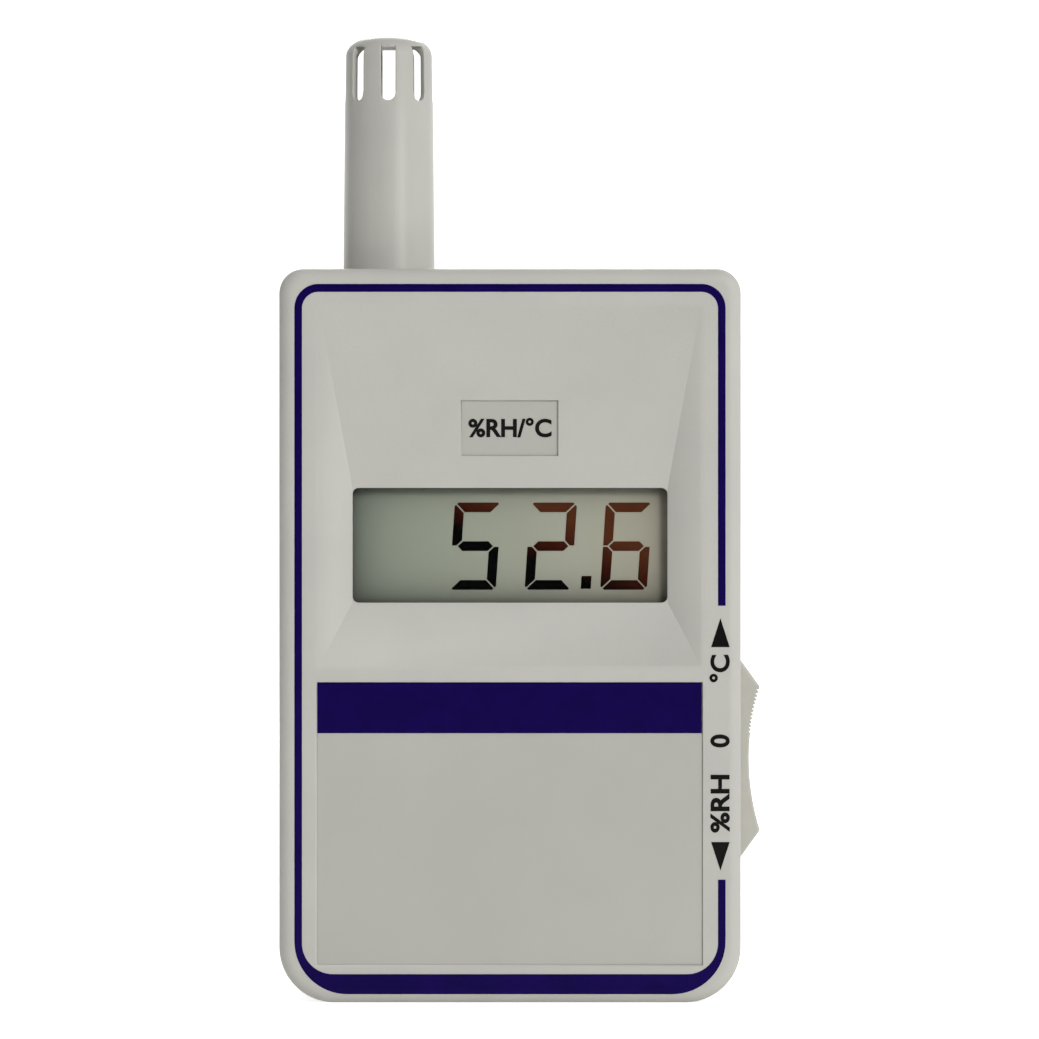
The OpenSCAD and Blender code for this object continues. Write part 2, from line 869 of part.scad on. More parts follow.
// Bent legs on both sides of a chip, which stand off its body to the row and turn down to the board
module chip_legs(count, width, row, middle, foot)
  for (side = [0, 1])
    mirror([0, 0, side])
      pin_row(count) {
        block(span(pin_w), [middle, middle + leg_t], [width / 2, row + leg_t / 2]);
        block(span(pin_w), [foot, middle + leg_t], span(leg_t, row));
      }

// Converter and display driver, on the front of the main board below the display
chip_end = 0.7;

module on_chip_place()
  translate([chip_x, board_y - chip_lift, chip_z])
    mirror([0, 1, 0])
      children();

module converter_chip() {
  color(chip_black)
    on_chip_place()
      chip_body(chip_pins_per_row * pin_spacing + 2 * chip_end, chip_body_w, chip_h);
}

module converter_pins() {
  color(tin)
    on_chip_place()
      chip_legs(chip_pins_per_row, chip_body_w, chip_row_z, chip_h / 2, -board_t - chip_lift - pin_stub);
}

// Two smaller chips on the back of the main board, with their insets from its sides and their pins in a row
small_chip_x = [24.5 - board_half_w, board_half_w - 16.5];
small_chip_pins = [4, 7];
small_chip_drop = 7.5;
small_chip_w = 6.3;
small_chip_h = 3.2;
small_row_z = 1.5 * pin_spacing;

module amplifier_chips() {
  color(chip_black)
    for (i = [0, 1])
      translate([small_chip_x[i], board_back_y + chip_lift, board_high - small_chip_drop])
        chip_body(small_chip_pins[i] * pin_spacing - play, small_chip_w, small_chip_h);
}

module amplifier_pins() {
  color(tin)
    for (i = [0, 1])
      translate([small_chip_x[i], board_back_y + chip_lift, board_high - small_chip_drop])
        chip_legs(small_chip_pins[i], small_chip_w, small_row_z, small_chip_h / 2 - leg_t / 2, -chip_lift);
}

// The parts below are placed from the upper row of the display's pins
upper_row_z = window_z + lcd_row_z;

// Box-shaped film capacitors
film_gap = 9;
film_w = 7.2;
film_h = 6.5;
film_t = 2.5;
film_rise = 1.2;

module film_capacitors() {
  color([0.75, 0.15, 0.1])
    for (i = [0 : 2])
      translate([small_chip_x[0] + i * film_gap, board_back_y, upper_row_z + film_rise])
        block(span(film_w), [0, film_h], [0, film_t]);
}

// Upright electrolytic capacitors with a groove rolled in near the foot
can_drops = [3.6, 11.1];
can_inset = 8;
can_r = 3.1;
can_h = 11;
can_groove = 0.3;
can_groove_rise = 1.5;

module electrolytic_capacitors() {
  groove = [can_groove_rise - can_groove, can_groove_rise, can_groove_rise + can_groove];
  color([0.1, 0.12, 0.3])
    for (drop = can_drops)
      translate([board_half_w - can_inset, board_back_y, upper_row_z - drop])
        rotate([-90, 0, 0])
          rotate_extrude()
            polygon([
              [0, 0], [can_r, 0], [can_r, groove[0]], [can_r - can_groove, groove[1]], [can_r, groove[2]],
              [can_r, can_h - can_groove], [can_r - can_groove, can_h], [0, can_h]
            ]);
}

// Three-legged voltage regulator with a flat side
regulator_inset = 16.5;
regulator_drop = 4.8;
regulator_r = 2.4;
regulator_h = 4.8;
regulator_flat = 1.5;

module voltage_regulator() {
  r = regulator_r + over;
  color(chip_black)
    translate([board_half_w - regulator_inset, board_back_y, upper_row_z - regulator_drop])
      difference() {
        bar_y(0, 0, regulator_r, [0, regulator_h]);
        block([-r, r], [-over, regulator_h + over], [-r, -regulator_flat]);
      }
}

// Resistors that lie across the back of the main board
resistor_count = 6;
resistor_drop = 2.1;
resistor_gap = 2.6;
resistor_x = -3;
resistor_span = 4 * pin_spacing;
resistor_r = 1.1;
resistor_l = 6.2;
resistor_end = 1.4;
resistor_waist = 0.2;
resistor_y = board_back_y + resistor_r + play / 2;

module resistors() {
  waist_r = resistor_r - resistor_waist;
  color([0.35, 0.55, 0.65])
    for (i = [0 : resistor_count - 1])
      translate([resistor_x - resistor_l / 2, resistor_y, upper_row_z - resistor_drop - i * resistor_gap])
        rotate([0, 90, 0])
          rotate_extrude()
            polygon([
              [0, 0], [resistor_r, 0], [resistor_r, resistor_end], [waist_r, resistor_end + resistor_waist],
              [waist_r, resistor_l - resistor_end - resistor_waist], [resistor_r, resistor_l - resistor_end],
              [resistor_r, resistor_l], [0, resistor_l]
            ]);
}

module resistor_leads() {
  x = resistor_span / 2;
  color(tin)
    for (i = [0 : resistor_count - 1])
      for (side = [0, 1])
        translate([resistor_x, 0, upper_row_z - resistor_drop - i * resistor_gap])
          mirror([side, 0, 0]) {
            block([resistor_l / 2, x + leg_t], [resistor_y - leg_t, resistor_y + leg_t], [-leg_t, leg_t]);
            block([x - leg_t, x + leg_t], [board_back_y, resistor_y + leg_t], [-leg_t, leg_t]);
          }
}

// Multi-turn trimmers that set the two scales
trimmer_insets = [3.5, 10];
trimmer_w = 4.8;
trimmer_h = 10;
trimmer_l = 9.5;
trimmer_drop = 5.8;
trimmer_screw_r = 1.1;
trimmer_screw_h = 1;
trimmer_screw_inset = 1.8;
trimmer_slot_t = 0.4;

module at_trimmers()
  for (inset = trimmer_insets)
    translate([inset - board_half_w, board_back_y, upper_row_z - trimmer_drop])
      children();

module trimmers() {
  color([0.1, 0.25, 0.6])
    at_trimmers()
      block(span(trimmer_w), [0, trimmer_h], [-trimmer_l, 0]);
}

module trimmer_screws() {
  r = trimmer_screw_r + over;
  top = trimmer_h + trimmer_screw_h;
  color([0.8, 0.65, 0.3])
    at_trimmers()
      translate([0, 0, -trimmer_screw_inset])
        difference() {
          bar_y(0, 0, trimmer_screw_r, [trimmer_h, top]);
          block([-r, r], [top - trimmer_screw_h / 2, top + over], span(trimmer_slot_t));
        }
}

// Sheet metal case of the slide switch, open to the left
module switch_case() {
  y = [board_back_y, board_back_y + switch_h];
  z = span(switch_l, switch_z);
  reach = lever_l / 2 + switch_travel / 2 + slide_gap;
  color(tin)
    difference() {
      block([case_x[0], case_x[1]], y, z);
      block(
        [case_x[0] - over, case_x[1] - switch_sheet],
        [y[0] + switch_sheet, y[1] - switch_sheet],
        [z[0] + switch_sheet, z[1] - switch_sheet]
      );
      block(
        [case_x[0], case_x[1] + over],
        [switch_y - lever_t / 2 - slide_gap, switch_y + lever_t / 2 + slide_gap],
        [switch_z - reach, switch_z + reach]
      );
    }
}

// Laminate base that closes the case and carries the contacts
module switch_base() {
  color([0.45, 0.28, 0.12])
    block(
      [base_x, case_x[0]],
      [board_back_y, board_back_y + switch_h],
      span(switch_l, switch_z)
    );
}

// Two rows of contact pins, bent down to the board
contact_w = 0.8;
contact_gap = 4;
contact_rows = 2.8;
contact_reach = [1, 2.3];

module switch_pins() {
  color(tin)
    for (row = [0, 1])
      for (i = [-1.5 : 1 : 1.5]) {
        y = switch_y + (row - 0.5) * contact_rows;
        x = base_x - contact_reach[row];
        z = switch_z + i * contact_gap;
        block([x - leg_t, base_x], span(leg_t, y), span(contact_w, z));
        block([x - leg_t, x], [board_back_y, y + leg_t / 2], span(contact_w, z));
      }
}

// Contact carriage inside the switch, with the lever that reaches into the knob
module switch_lever() {
  color(chip_black) {
    block(
      carriage_x,
      span(switch_h - 2 * switch_sheet - 2 * slide_gap, switch_y),
      span(carriage_l, rest_z)
    );
    block(
      [carriage_x[0], lever_tip_x],
      span(lever_t, switch_y),
      span(lever_l, rest_z)
    );
  }
}

// Side outline of the knob: flat inside, two crests outside with sloping ends
module knob_outline()
  polygon([
    [plate_x, -knob_l / 2], [half_w, -knob_l / 2], [half_w + knob_proud, -crest_gap / 2],
    [half_w + knob_proud, crest_gap / 2], [half_w, knob_l / 2], [plate_x, knob_l / 2]
  ]);

// Slide knob with a finger hollow, grip teeth above it and a dust plate behind the opening
module switch_knob() {
  plate_l = knob_opening[1] - knob_opening[0] + switch_travel + 2 * slide_gap;
  plate_y = knob_d / 2 + slide_gap + dust_plate_lap;
  color(shell_grey)
    translate([0, switch_y, rest_z])
      difference() {
        union() {
          along_y(span(knob_d))
            knob_outline();
          block([plate_x, plate_x + dust_plate_t], [-plate_y, plate_y], span(plate_l));
        }
        finger_cut();
        for (i = [0 : 1 : tooth_count - 1])
          grip_tooth(crest_gap / 2 - (i + 1) * tooth_pitch);
        block(
          [plate_x - over, lever_tip_x + slide_gap],
          [-lever_t / 2 - fit_gap, lever_t / 2 + fit_gap],
          [-lever_l / 2 - fit_gap, lever_l / 2 + fit_gap]
        );
      }
}

// Round hollow between the knob's crests
module finger_cut()
  bar_y(hollow_x, 0, hollow_r, [-knob_d / 2 - over, knob_d / 2 + over]);

// One groove across the hollow's surface at a height above its middle, narrower towards its floor
module grip_tooth(z) {
  x = hollow_x - sqrt(hollow_r * hollow_r - z * z);
  floor_w = tooth_pitch / 4;
  mouth_w = 3 * floor_w;
  along_y([-knob_d / 2 - over, knob_d / 2 + over])
    polygon([
      [x - tooth_h, z + floor_w / 2], [x - tooth_h, z - floor_w / 2],
      [x + tooth_h, z - mouth_w / 2], [x + tooth_h, z + mouth_w / 2]
    ]);
}

// Quarter ellipse of the tube's shoulder, from the side wall up to the flat tip
function shoulder(r, z, w, h) = [
  for (i = [0 : shoulder_steps])
    let(a = 90 * i / shoulder_steps)
      [r - w + w * cos(a), z + h * sin(a)]
];

// Slotted sensor tube with the collar that the shells hold
module sensor_tube() {
  inner_z = shoulder_z - 2 * play;
  inner = shoulder(tube_inner_tip_r, inner_z, shoulder_w - tube_wall / 2, tip_z - tip_wall - inner_z);
  color(shell_grey)
    translate([tube_x, 0, 0])
      difference() {
        rotate_extrude()
          polygon(concat(
            [
              [tube_inner_base_r, tube_low], [tube_base_r, tube_low],
              [tube_base_r, collar_low], [tube_base_r + collar_w, collar_low],
              [tube_base_r + collar_w, collar_high], [tube_base_r, collar_high],
              [tube_base_r, housing_h]
            ],
            shoulder(tube_tip_r, shoulder_z, shoulder_w, shoulder_h),
            [[0, tip_z], [0, tip_z - tip_wall]],
            [for (i = [shoulder_steps : -1 : 0]) inner[i]]
          ));
        air_slots();
      }
}

// Air slots with round lower ends, cut in pairs right through the tube
module air_slots()
  for (i = [0 : slot_count / 2 - 1])
    rotate([0, 0, i * 360 / slot_count])
      along_y([-tube_base_r - over, tube_base_r + over])
        union() {
          translate([0, slot_low + slot_w / 2])
            circle(slot_w / 2);
          translate([-slot_w / 2, slot_low + slot_w / 2])
            square([slot_w, slot_h - slot_w / 2]);
        }

// Narrow board that carries the sensors up the tube
module sensor_board() {
  t = sensor_board_t / 2;
  color(board_green)
    difference() {
      block(span(sensor_board_w, tube_x), [-t, t], [sensor_board_low, sensor_board_high]);
      translate([tube_x, 0, header_z])
        pin_row(header_pins)
          bar_y(0, 0, pin_hole_r, [-t - over, t + over]);
    }
}

// Header that stands the sensor board off the main board
module header_pin(y)
  block(span(pin_w), y, span(pin_w));

module sensor_header() {
  w = header_pins * pin_spacing / 2;
  color(chip_black)
    translate([tube_x, 0, header_z])
      difference() {
        block([-w, w], [board_back_y, board_back_y + header_t], span(pin_spacing));
        pin_row(header_pins)
          header_pin([board_back_y - over, board_back_y + header_t + over]);
      }
}

module sensor_header_pins() {
  color(tin)
    translate([tube_x, 0, header_z])
      pin_row(header_pins)
        header_pin([board_back_y, sensor_board_t / 2 + pin_stub]);
}

// Capacitive humidity element in its frame, on the front of the sensor board
humidity_w = 7.6;
humidity_h = 9;
humidity_t = 2.2;
humidity_drop = 1.5;
foil_t = 0.2;
foil_inset = 1;
foil_depth = 0.5;

module on_sensor_board(drop)
  translate([tube_x, -sensor_board_t / 2, sensor_board_high - drop])
    children();

module humidity_sensor() {
  w = humidity_w / 2;
  color([0.92, 0.92, 0.88])
    on_sensor_board(humidity_drop)
      difference() {
        block([-w, w], [-humidity_t, 0], [-humidity_h, 0]);
        block(
          [foil_inset - w, w - foil_inset],
          [-humidity_t - over, foil_depth - humidity_t],
          [foil_inset - humidity_h, -foil_inset]
        );
      }
}

module humidity_foil() {
  w = humidity_w / 2 - foil_inset - hole_gap;
  color([0.75, 0.6, 0.3])
    on_sensor_board(humidity_drop)
      block(
        [-w, w],
        [foil_depth - foil_t - humidity_t, foil_depth - humidity_t],
        [foil_inset + hole_gap - humidity_h, -foil_inset - hole_gap]
      );
}

// Temperature element on two thin leads above the sensor board
element_rise = 1;
element_w = 2;
element_h = 2.4;
element_t = 0.9;
element_r = 0.4;
element_lead_r = 0.15;
element_lead_gap = 1;

module temperature_sensor() {
  color([0.9, 0.9, 0.92])
    translate([tube_x, 0, sensor_board_high + element_rise + element_h / 2])
      along_y(span(element_t))
        rounded_rect(element_w, element_h, element_r);
}

module sensor_leads() {
  color(tin)
    for (side = [-1, 1])
      translate([tube_x + side * element_lead_gap / 2, 0, sensor_board_high])
        cylinder(r = element_lead_r, h = element_rise);
}

// Block battery, upright in its compartment
module at_battery_middle(z)
  translate([0, (battery_y[0] + battery_y[1]) / 2, z])
    children();

module battery() {
  color([0.1, 0.1, 0.12])
    at_battery_middle(battery_low)
      linear_extrude(battery_h)
        rounded_rect(battery_w, battery_t, battery_r);
}

// Ring between two radii, standing on a height
module ring(outer_r, inner_r, h)
  difference() {
    cylinder(r = outer_r, h = h);
    translate([0, 0, -over])
      cylinder(r = inner_r, h = h + 2 * over);
  }

module battery_terminals() {
  color(tin)
    at_battery_middle(battery_high) {
      translate([-terminal_gap / 2, 0, 0])
        cylinder(r = stud_r, h = terminal_h);
      translate([terminal_gap / 2, 0, 0])
        ring(socket_r, stud_r + 2 * fit_gap, terminal_h);
    }
}

// Clip plate and the two contacts that snap on the terminals
clip_inset = [0.4, 2.2];
clip_r = 3;

module battery_clip() {
  color([0.1, 0.1, 0.1])
    at_battery_middle(clip_z)
      linear_extrude(clip_t)
        rounded_rect(battery_w - 2 * clip_inset[0], battery_t - 2 * clip_inset[1], clip_r);
}

module clip_contacts() {
  drop = clip_z - battery_high - play;
  color(tin)
    at_battery_middle(clip_z - drop) {
      translate([-terminal_gap / 2, 0, 0])
        ring(socket_r, stud_r + fit_gap, drop);
      translate([terminal_gap / 2, 0, 0])
        cylinder(r = stud_r, h = drop);
    }
}

// Lead from the clip up through the compartment's upper wall and across to the main board
module lead(x) {
  translate([x, lead_y, clip_z + clip_t])
    cylinder(r = lead_r, h = lead_bend_z - clip_z - clip_t);
  translate([x, lead_y - lead_bend_r, lead_bend_z])
    rotate([90, 0, 90])
      rotate_extrude(angle = 90)
        translate([lead_bend_r, 0])
          circle(lead_r);
  bar_y(x, lead_bend_z + lead_bend_r, lead_r, [board_back_y, lead_y - lead_bend_r]);
}

module positive_lead() {
  color([0.7, 0.05, 0.05])
    lead(lead_x[0]);
}

module negative_lead() {
  color([0.05, 0.05, 0.05])
    lead(lead_x[1]);
}

// Hook at the cover's lower edge, which reaches behind the back wall
module cover_hook() {
  block(span(hook_w), [hook_y, hook_y + hook_t], [hook_low, hook_neck[1]]);
  block(span(hook_w), [hook_y, cover_inner_y + sink], hook_neck);
}

// Cover that tilts on its lower edge, with two hooks and a latch tongue between slits
latch_t = 1.4;
latch_drop = 2.4;
groove_count = 3;
groove_pitch = 1.6;
groove_w = 0.8;
groove_depth = 0.4;
groove_inset = 0.8;

module battery_cover() {
  latch_high = cover_high - ledge_w - slide_gap;
  color(shell_grey)
    difference() {
      union() {
        block(
          [-cover_half_w, cover_half_w],
          [cover_inner_y, back_y],
          [cover_low + fit_gap, cover_high - fit_gap]
        );
        for (side = [-1, 1])
          translate([side * hook_gap / 2, 0, 0])
            cover_hook();
        block(
          span(latch_w),
          [cover_inner_y - latch_drop, cover_inner_y + sink],
          [latch_high - latch_t, latch_high]
        );
      }
      for (side = [0, 1])
        mirror([side, 0, 0])
          block(
            [latch_w / 2, latch_w / 2 + slit_w],
            [cover_inner_y - latch_drop - over, back_y + over],
            [cover_high - latch_l, cover_high + over]
          );
      for (i = [1 : groove_count])
        block(
          span(latch_w - 2 * groove_inset),
          [back_y - groove_depth, back_y + over],
          span(groove_w, cover_high - groove_inset - groove_pitch * i)
        );
    }
}

front_shell();
rear_shell();
housing_screws();
display_window();
lcd_front_glass();
lcd_rear_glass();
lcd_reflector();
lcd_pins();
front_label();
unit_label();
main_board();
board_screws();
converter_chip();
converter_pins();
amplifier_chips();
amplifier_pins();
film_capacitors();
electrolytic_capacitors();
voltage_regulator();
resistors();
resistor_leads();
trimmers();
trimmer_screws();
switch_case();
switch_base();
switch_pins();
switch_lever();
switch_knob();
sensor_tube();
sensor_board();
sensor_header();
sensor_header_pins();
humidity_sensor();
humidity_foil();
temperature_sensor();
sensor_leads();
battery();
battery_terminals();
battery_clip();
clip_contacts();
positive_lead();
negative_lead();
battery_cover();
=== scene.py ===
# Handheld hygrometer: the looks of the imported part.
# Lengths are written in millimetres and multiplied by mm when they go into a mesh.
import math

import bmesh
import bpy
import numpy as np
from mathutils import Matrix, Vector, geometry


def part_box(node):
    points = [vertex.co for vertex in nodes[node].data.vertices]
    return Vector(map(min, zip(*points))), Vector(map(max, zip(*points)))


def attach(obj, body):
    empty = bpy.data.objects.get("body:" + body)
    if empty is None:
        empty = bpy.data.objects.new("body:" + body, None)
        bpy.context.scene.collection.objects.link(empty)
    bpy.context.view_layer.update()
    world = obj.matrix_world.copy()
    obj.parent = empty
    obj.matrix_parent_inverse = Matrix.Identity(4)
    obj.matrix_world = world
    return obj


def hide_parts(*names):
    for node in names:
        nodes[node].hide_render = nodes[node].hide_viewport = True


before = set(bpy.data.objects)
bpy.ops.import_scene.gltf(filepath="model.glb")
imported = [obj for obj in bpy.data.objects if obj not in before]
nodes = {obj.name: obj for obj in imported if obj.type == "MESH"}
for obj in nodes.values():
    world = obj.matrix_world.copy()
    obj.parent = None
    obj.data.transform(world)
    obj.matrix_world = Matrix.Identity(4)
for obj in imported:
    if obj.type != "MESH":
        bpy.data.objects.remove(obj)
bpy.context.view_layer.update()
mm = 0.001
scene = bpy.context.scene
print("frame: %d nodes" % len(nodes))


# An object with its data, in the scene.
def addObject(name, data):
    made = bpy.data.objects.new(name, data)
    scene.collection.objects.link(made)
    return made


# Level view onto the display, from 1.05 m in front of it
cameraPlace = {"x": 1.38, "y": -1065, "z": 70.1, "lens": 251, "sensor": 36, "clip": (0.01, 20)}


def makeCamera(place):
    data = bpy.data.cameras.new("camera")
    data.lens = place["lens"]
    data.sensor_width = place["sensor"]
    data.clip_start, data.clip_end = place["clip"]
    camera = addObject("camera", data)
    camera.location = (place["x"] * mm, place["y"] * mm, place["z"] * mm)
    camera.rotation_euler = (math.radians(90), 0, 0)  # looks level along +Y
    scene.camera = camera


makeCamera(cameraPlace)
print("camera ready")


# sRGB hex to linear RGBA: v / 12.92 below 0.04045, else ((v + 0.055) / 1.055) ** 2.4.
def linear(hexText):
    values = [int(hexText[i : i + 2], 16) / 255 for i in (1, 3, 5)]
    return [v / 12.92 if v <= 0.04045 else ((v + 0.055) / 1.055) ** 2.4 for v in values] + [1.0]


# An input is linked where it is given a socket, and set where it is given a value.
def setInputs(tree, node, inputs):
    for key, value in inputs.items():
        if isinstance(value, bpy.types.NodeSocket):
            tree.links.new(value, node.inputs[key])
        else:
            node.inputs[key].default_value = value


# A node of a kind with its settings and its inputs.
def addNode(tree, kind, settings=None, inputs=None):
    node = tree.nodes.new("ShaderNode" + kind)
    for key, value in (settings or {}).items():
        setattr(node, key, value)
    setInputs(tree, node, inputs or {})
    return node


# The next six each add one node and return what it puts out. Sizes and depths are in mm.
def noise(tree, place, size, detail):
    inputs = {"Vector": place, "Scale": 1 / (size * mm), "Detail": detail}
    return addNode(tree, "TexNoise", None, inputs).outputs["Fac"]


def spread(tree, value, ends, to, way="LINEAR"):
    inputs = {"Value": value, "From Min": ends[0], "From Max": ends[1], "To Min": to[0], "To Max": to[1]}
    return addNode(tree, "MapRange", {"interpolation_type": way}, inputs).outputs["Result"]


def ramp(tree, value, stops):
    node = addNode(tree, "ValToRGB", None, {"Fac": value})
    elements = node.color_ramp.elements
    while len(elements) < len(stops):
        elements.new(0.5)
    for element, (where, hexText) in zip(elements, stops):
        element.position = where
        element.color = linear(hexText)
    return node.outputs["Color"]


def compute(tree, operation, *values, clamp=False):
    settings = {"operation": operation, "use_clamp": clamp}
    return addNode(tree, "Math", settings, dict(enumerate(values))).outputs["Value"]


def bump(tree, height, depth, invert=False):
    inputs = {"Height": height, "Distance": depth * mm, "Strength": 1.0}
    return addNode(tree, "Bump", {"invert": invert}, inputs).outputs["Normal"]


def split(tree, place):
    node = addNode(tree, "SeparateXYZ", None, {"Vector": place})
    return [node.outputs[axis] for axis in "XYZ"]


# An empty material with its Principled shader, and the object coordinates.
def newMaterial(name):
    material = bpy.data.materials.new(name)
    material.use_nodes = True
    tree = material.node_tree
    shader = tree.nodes["Principled BSDF"]
    place = addNode(tree, "TexCoord").outputs["Object"]
    return material, tree, shader, place


# Two colours mixed by soft patches, a roughness range and a relief of the same grain. grain and
# patch are sizes in mm, depth is the relief's height in mm, gloss the specular level.
def madeOf(name, colours, roughness, grain, depth, patch, ior=1.5, gloss=0.5, metal=False):
    material, tree, shader, place = newMaterial(name)
    patches = noise(tree, place, patch, 3.0)
    fine = noise(tree, place, grain, 2.0)
    inputs = {
        "Base Color": ramp(tree, patches, [(0.35, colours[0]), (0.65, colours[1])]),
        "Roughness": spread(tree, fine, (0, 1), roughness),
        "Normal": bump(tree, fine, depth),
        "Metallic": float(metal),
        "Specular IOR Level": gloss,
    }
    if not metal:
        inputs["IOR"] = ior
    setInputs(tree, shader, inputs)
    return material


# ABS, injection moulded in a spark-eroded tool: matt with a fine even grain. The real grain of
# about 0.1 mm is drawn at 0.4 mm so that it shows.
shellAbs = madeOf("moulded_abs_grey", ("#bcbbb6", "#c0bfb9"), (0.48, 0.62), 0.4, 0.03, 14, 1.53, 0.42)
# The tube is polished lengthwise on its core: a finer grain and a narrow streak of the lamp.
tubeAbs = madeOf("moulded_abs_tube", ("#bbbab5", "#bfbeb8"), (0.26, 0.34), 0.4, 0.01, 10, 1.53)
knobAbs = madeOf("moulded_abs_knob", ("#b4b3aa", "#bab8b0"), (0.38, 0.5), 0.35, 0.012, 6, 1.53)
# Screen ink on the shell: a thin even lacquer that swallows most of the light, with a weak gloss.
navyInk = madeOf("screen_ink_navy", ("#100346", "#15044f"), (0.28, 0.36), 0.3, 0.001, 5, 1.45, 0.07)
blackInk = madeOf("screen_ink_black", ("#090908", "#0d0d0c"), (0.26, 0.34), 0.3, 0.001, 5, 1.45, 0.14)
# Printed polyester label with a matt overlay: flat, with a shallow orange-peel.
labelFilm = madeOf("matt_polyester_label", ("#b2b1ab", "#b6b5af"), (0.4, 0.5), 0.5, 0.006, 20, 1.57)
# Tinned brass and steel: bright, slightly cloudy from handling.
tinnedMetal = madeOf("tinned_metal", ("#c9c8c4", "#d8d7d4"), (0.22, 0.38), 0.4, 0.003, 3, metal=True)
brassMetal = madeOf("turned_brass", ("#c49a4a", "#d8b060"), (0.2, 0.34), 0.2, 0.002, 2, metal=True)
# Epoxy moulding compound: black, matt, with a fine powdery surface.
chipEpoxy = madeOf("moulded_epoxy", ("#17171a", "#1e1e21"), (0.5, 0.65), 0.15, 0.006, 3, 1.55)
# Coatings of the components: dipped lacquer and shrunk sleeve shine, moulded nylon is dull.
redLacquer = madeOf("dipped_lacquer_red", ("#9c2a1c", "#a83222"), (0.25, 0.35), 0.6, 0.004, 3)
sleeveVinyl = madeOf("shrunk_vinyl_sleeve", ("#16204a", "#1b2756"), (0.28, 0.4), 0.5, 0.004, 4, 1.53)
resistorLacquer = madeOf("resistor_lacquer", ("#5f8fa0", "#6a9aab"), (0.3, 0.42), 0.3, 0.005, 2)
trimmerNylon = madeOf("moulded_nylon_blue", ("#1c4390", "#21499a"), (0.4, 0.52), 0.2, 0.004, 3, 1.53)
# Resin-soaked paper board of the switch: brown, dull.
laminate = madeOf("phenolic_laminate", ("#6e4a22", "#7d552a"), (0.45, 0.6), 0.2, 0.004, 2, 1.6)
sensorPlastic = madeOf("sensor_frame_white", ("#e4e3dc", "#ecebe5"), (0.4, 0.5), 0.2, 0.004, 3)
# Foils with a metal layer: gold gives a clear shine, the reflector behind the glass a soft one.
goldFoil = madeOf("gold_electrode_foil", ("#c8a24e", "#d9b660"), (0.18, 0.3), 0.3, 0.002, 2, metal=True)
mirrorFoil = madeOf("aluminised_foil", ("#b9bbb4", "#c6c8c1"), (0.3, 0.4), 0.4, 0.003, 6, metal=True)
# Soft vinyl of the clip and the leads: dull with a broad sheen.
blackVinyl = madeOf("soft_vinyl_black", ("#131314", "#1b1b1c"), (0.45, 0.6), 0.3, 0.006, 3, 1.53)
redWire = madeOf("wire_pvc_red", ("#a3150f", "#b01c14"), (0.35, 0.45), 0.3, 0.004, 3, 1.53)
blackWire = madeOf("wire_pvc_black", ("#101011", "#171718"), (0.35, 0.45), 0.3, 0.004, 3, 1.53)

# The tube's slotted tip is left as it came out of the tool, matt: between two heights in mm the
# specular level falls from one value to another.
tipGloss = {"heights": (126, 134), "levels": (0.4, 0.1)}


def fadeGloss(material, spec):
    tree = material.node_tree
    z = split(tree, addNode(tree, "TexCoord").outputs["Object"])[2]
    low, high = spec["heights"]
    fade = spread(tree, z, (low * mm, high * mm), spec["levels"])
    setInputs(tree, tree.nodes["Principled BSDF"], {"Specular IOR Level": fade})


fadeGloss(tubeAbs, tipGloss)

# Copper tracks under the solder mask: pitch and height in mm, the rest as shares of the pitch
tracks = {
    "pitch": 5.08, "proud": 0.04, "width": 0.035, "soft": 0.2, "long": 1.6, "row": 0.25, "shift": 0.37,
    "colours": ("#2c7a48", "#1c5a34"), "roughness": 0.32,
}


def makeBoardMaterial(spec):
    # Glass-epoxy board with green solder mask over copper: the tracks lie a little proud.
    material, tree, shader, place = newMaterial("solder_mask_green")
    # turned so that the pattern lies along the board's x and z
    turned = addNode(tree, "Mapping", None, {"Vector": place, "Rotation": (math.radians(90), 0, 0)})
    inputs = {
        "Vector": turned.outputs["Vector"],
        "Scale": 1 / (spec["pitch"] * mm),
        "Mortar Size": spec["width"],
        "Mortar Smooth": spec["soft"],
        "Brick Width": spec["long"],
        "Row Height": spec["row"],
        "Color1": (1, 1, 1, 1), "Color2": (1, 1, 1, 1), "Mortar": (0, 0, 0, 1),
    }
    pattern = addNode(tree, "TexBrick", {"offset": spec["shift"]}, inputs).outputs["Color"]
    inputs = {
        "Base Color": ramp(tree, pattern, [(0.2, spec["colours"][0]), (0.8, spec["colours"][1])]),
        "Normal": bump(tree, pattern, spec["proud"], invert=True),
        "Roughness": spec["roughness"],
    }
    setInputs(tree, shader, inputs)
    return material


pane = {"colour": "#0c0d0c", "alpha": 0.04, "roughness": (0.06, 0.14), "dust": 6, "ior": 1.49}


def makePaneMaterial(spec):
    # Clear acrylic, injection moulded and polished: only a trace of its gloss shows.
    material, tree, shader, place = newMaterial("clear_acrylic")
    inputs = {
        "Base Color": linear(spec["colour"]),
        "Roughness": spread(tree, noise(tree, place, spec["dust"], 4.0), (0, 1), spec["roughness"]),
        "IOR": spec["ior"],
        "Alpha": spec["alpha"],
    }
    setInputs(tree, shader, inputs)
    return material


cell = {
    # colours from left to right, lighter and warmer to the right: painted light
    "stops": ((0.04, "#949e8f"), (0.35, "#9fa696"), (0.75, "#afb1a1"), (1.0, "#b3b09e")),
    "half": 22.9, "low": 58.0, "high": 74.7,
    # how dark the painted shade of the window's walls gets at each side, and how far it reaches in, in
    # mm
    "left": (0.62, 3.0), "right": (0.4, 2.6), "top": (0.6, 1.6), "bottom": (0.62, 2.6),
    # the grain's size in mm and its share in the colour
    "grain": (0.35, 0.12),
    "roughness": 0.42,
}


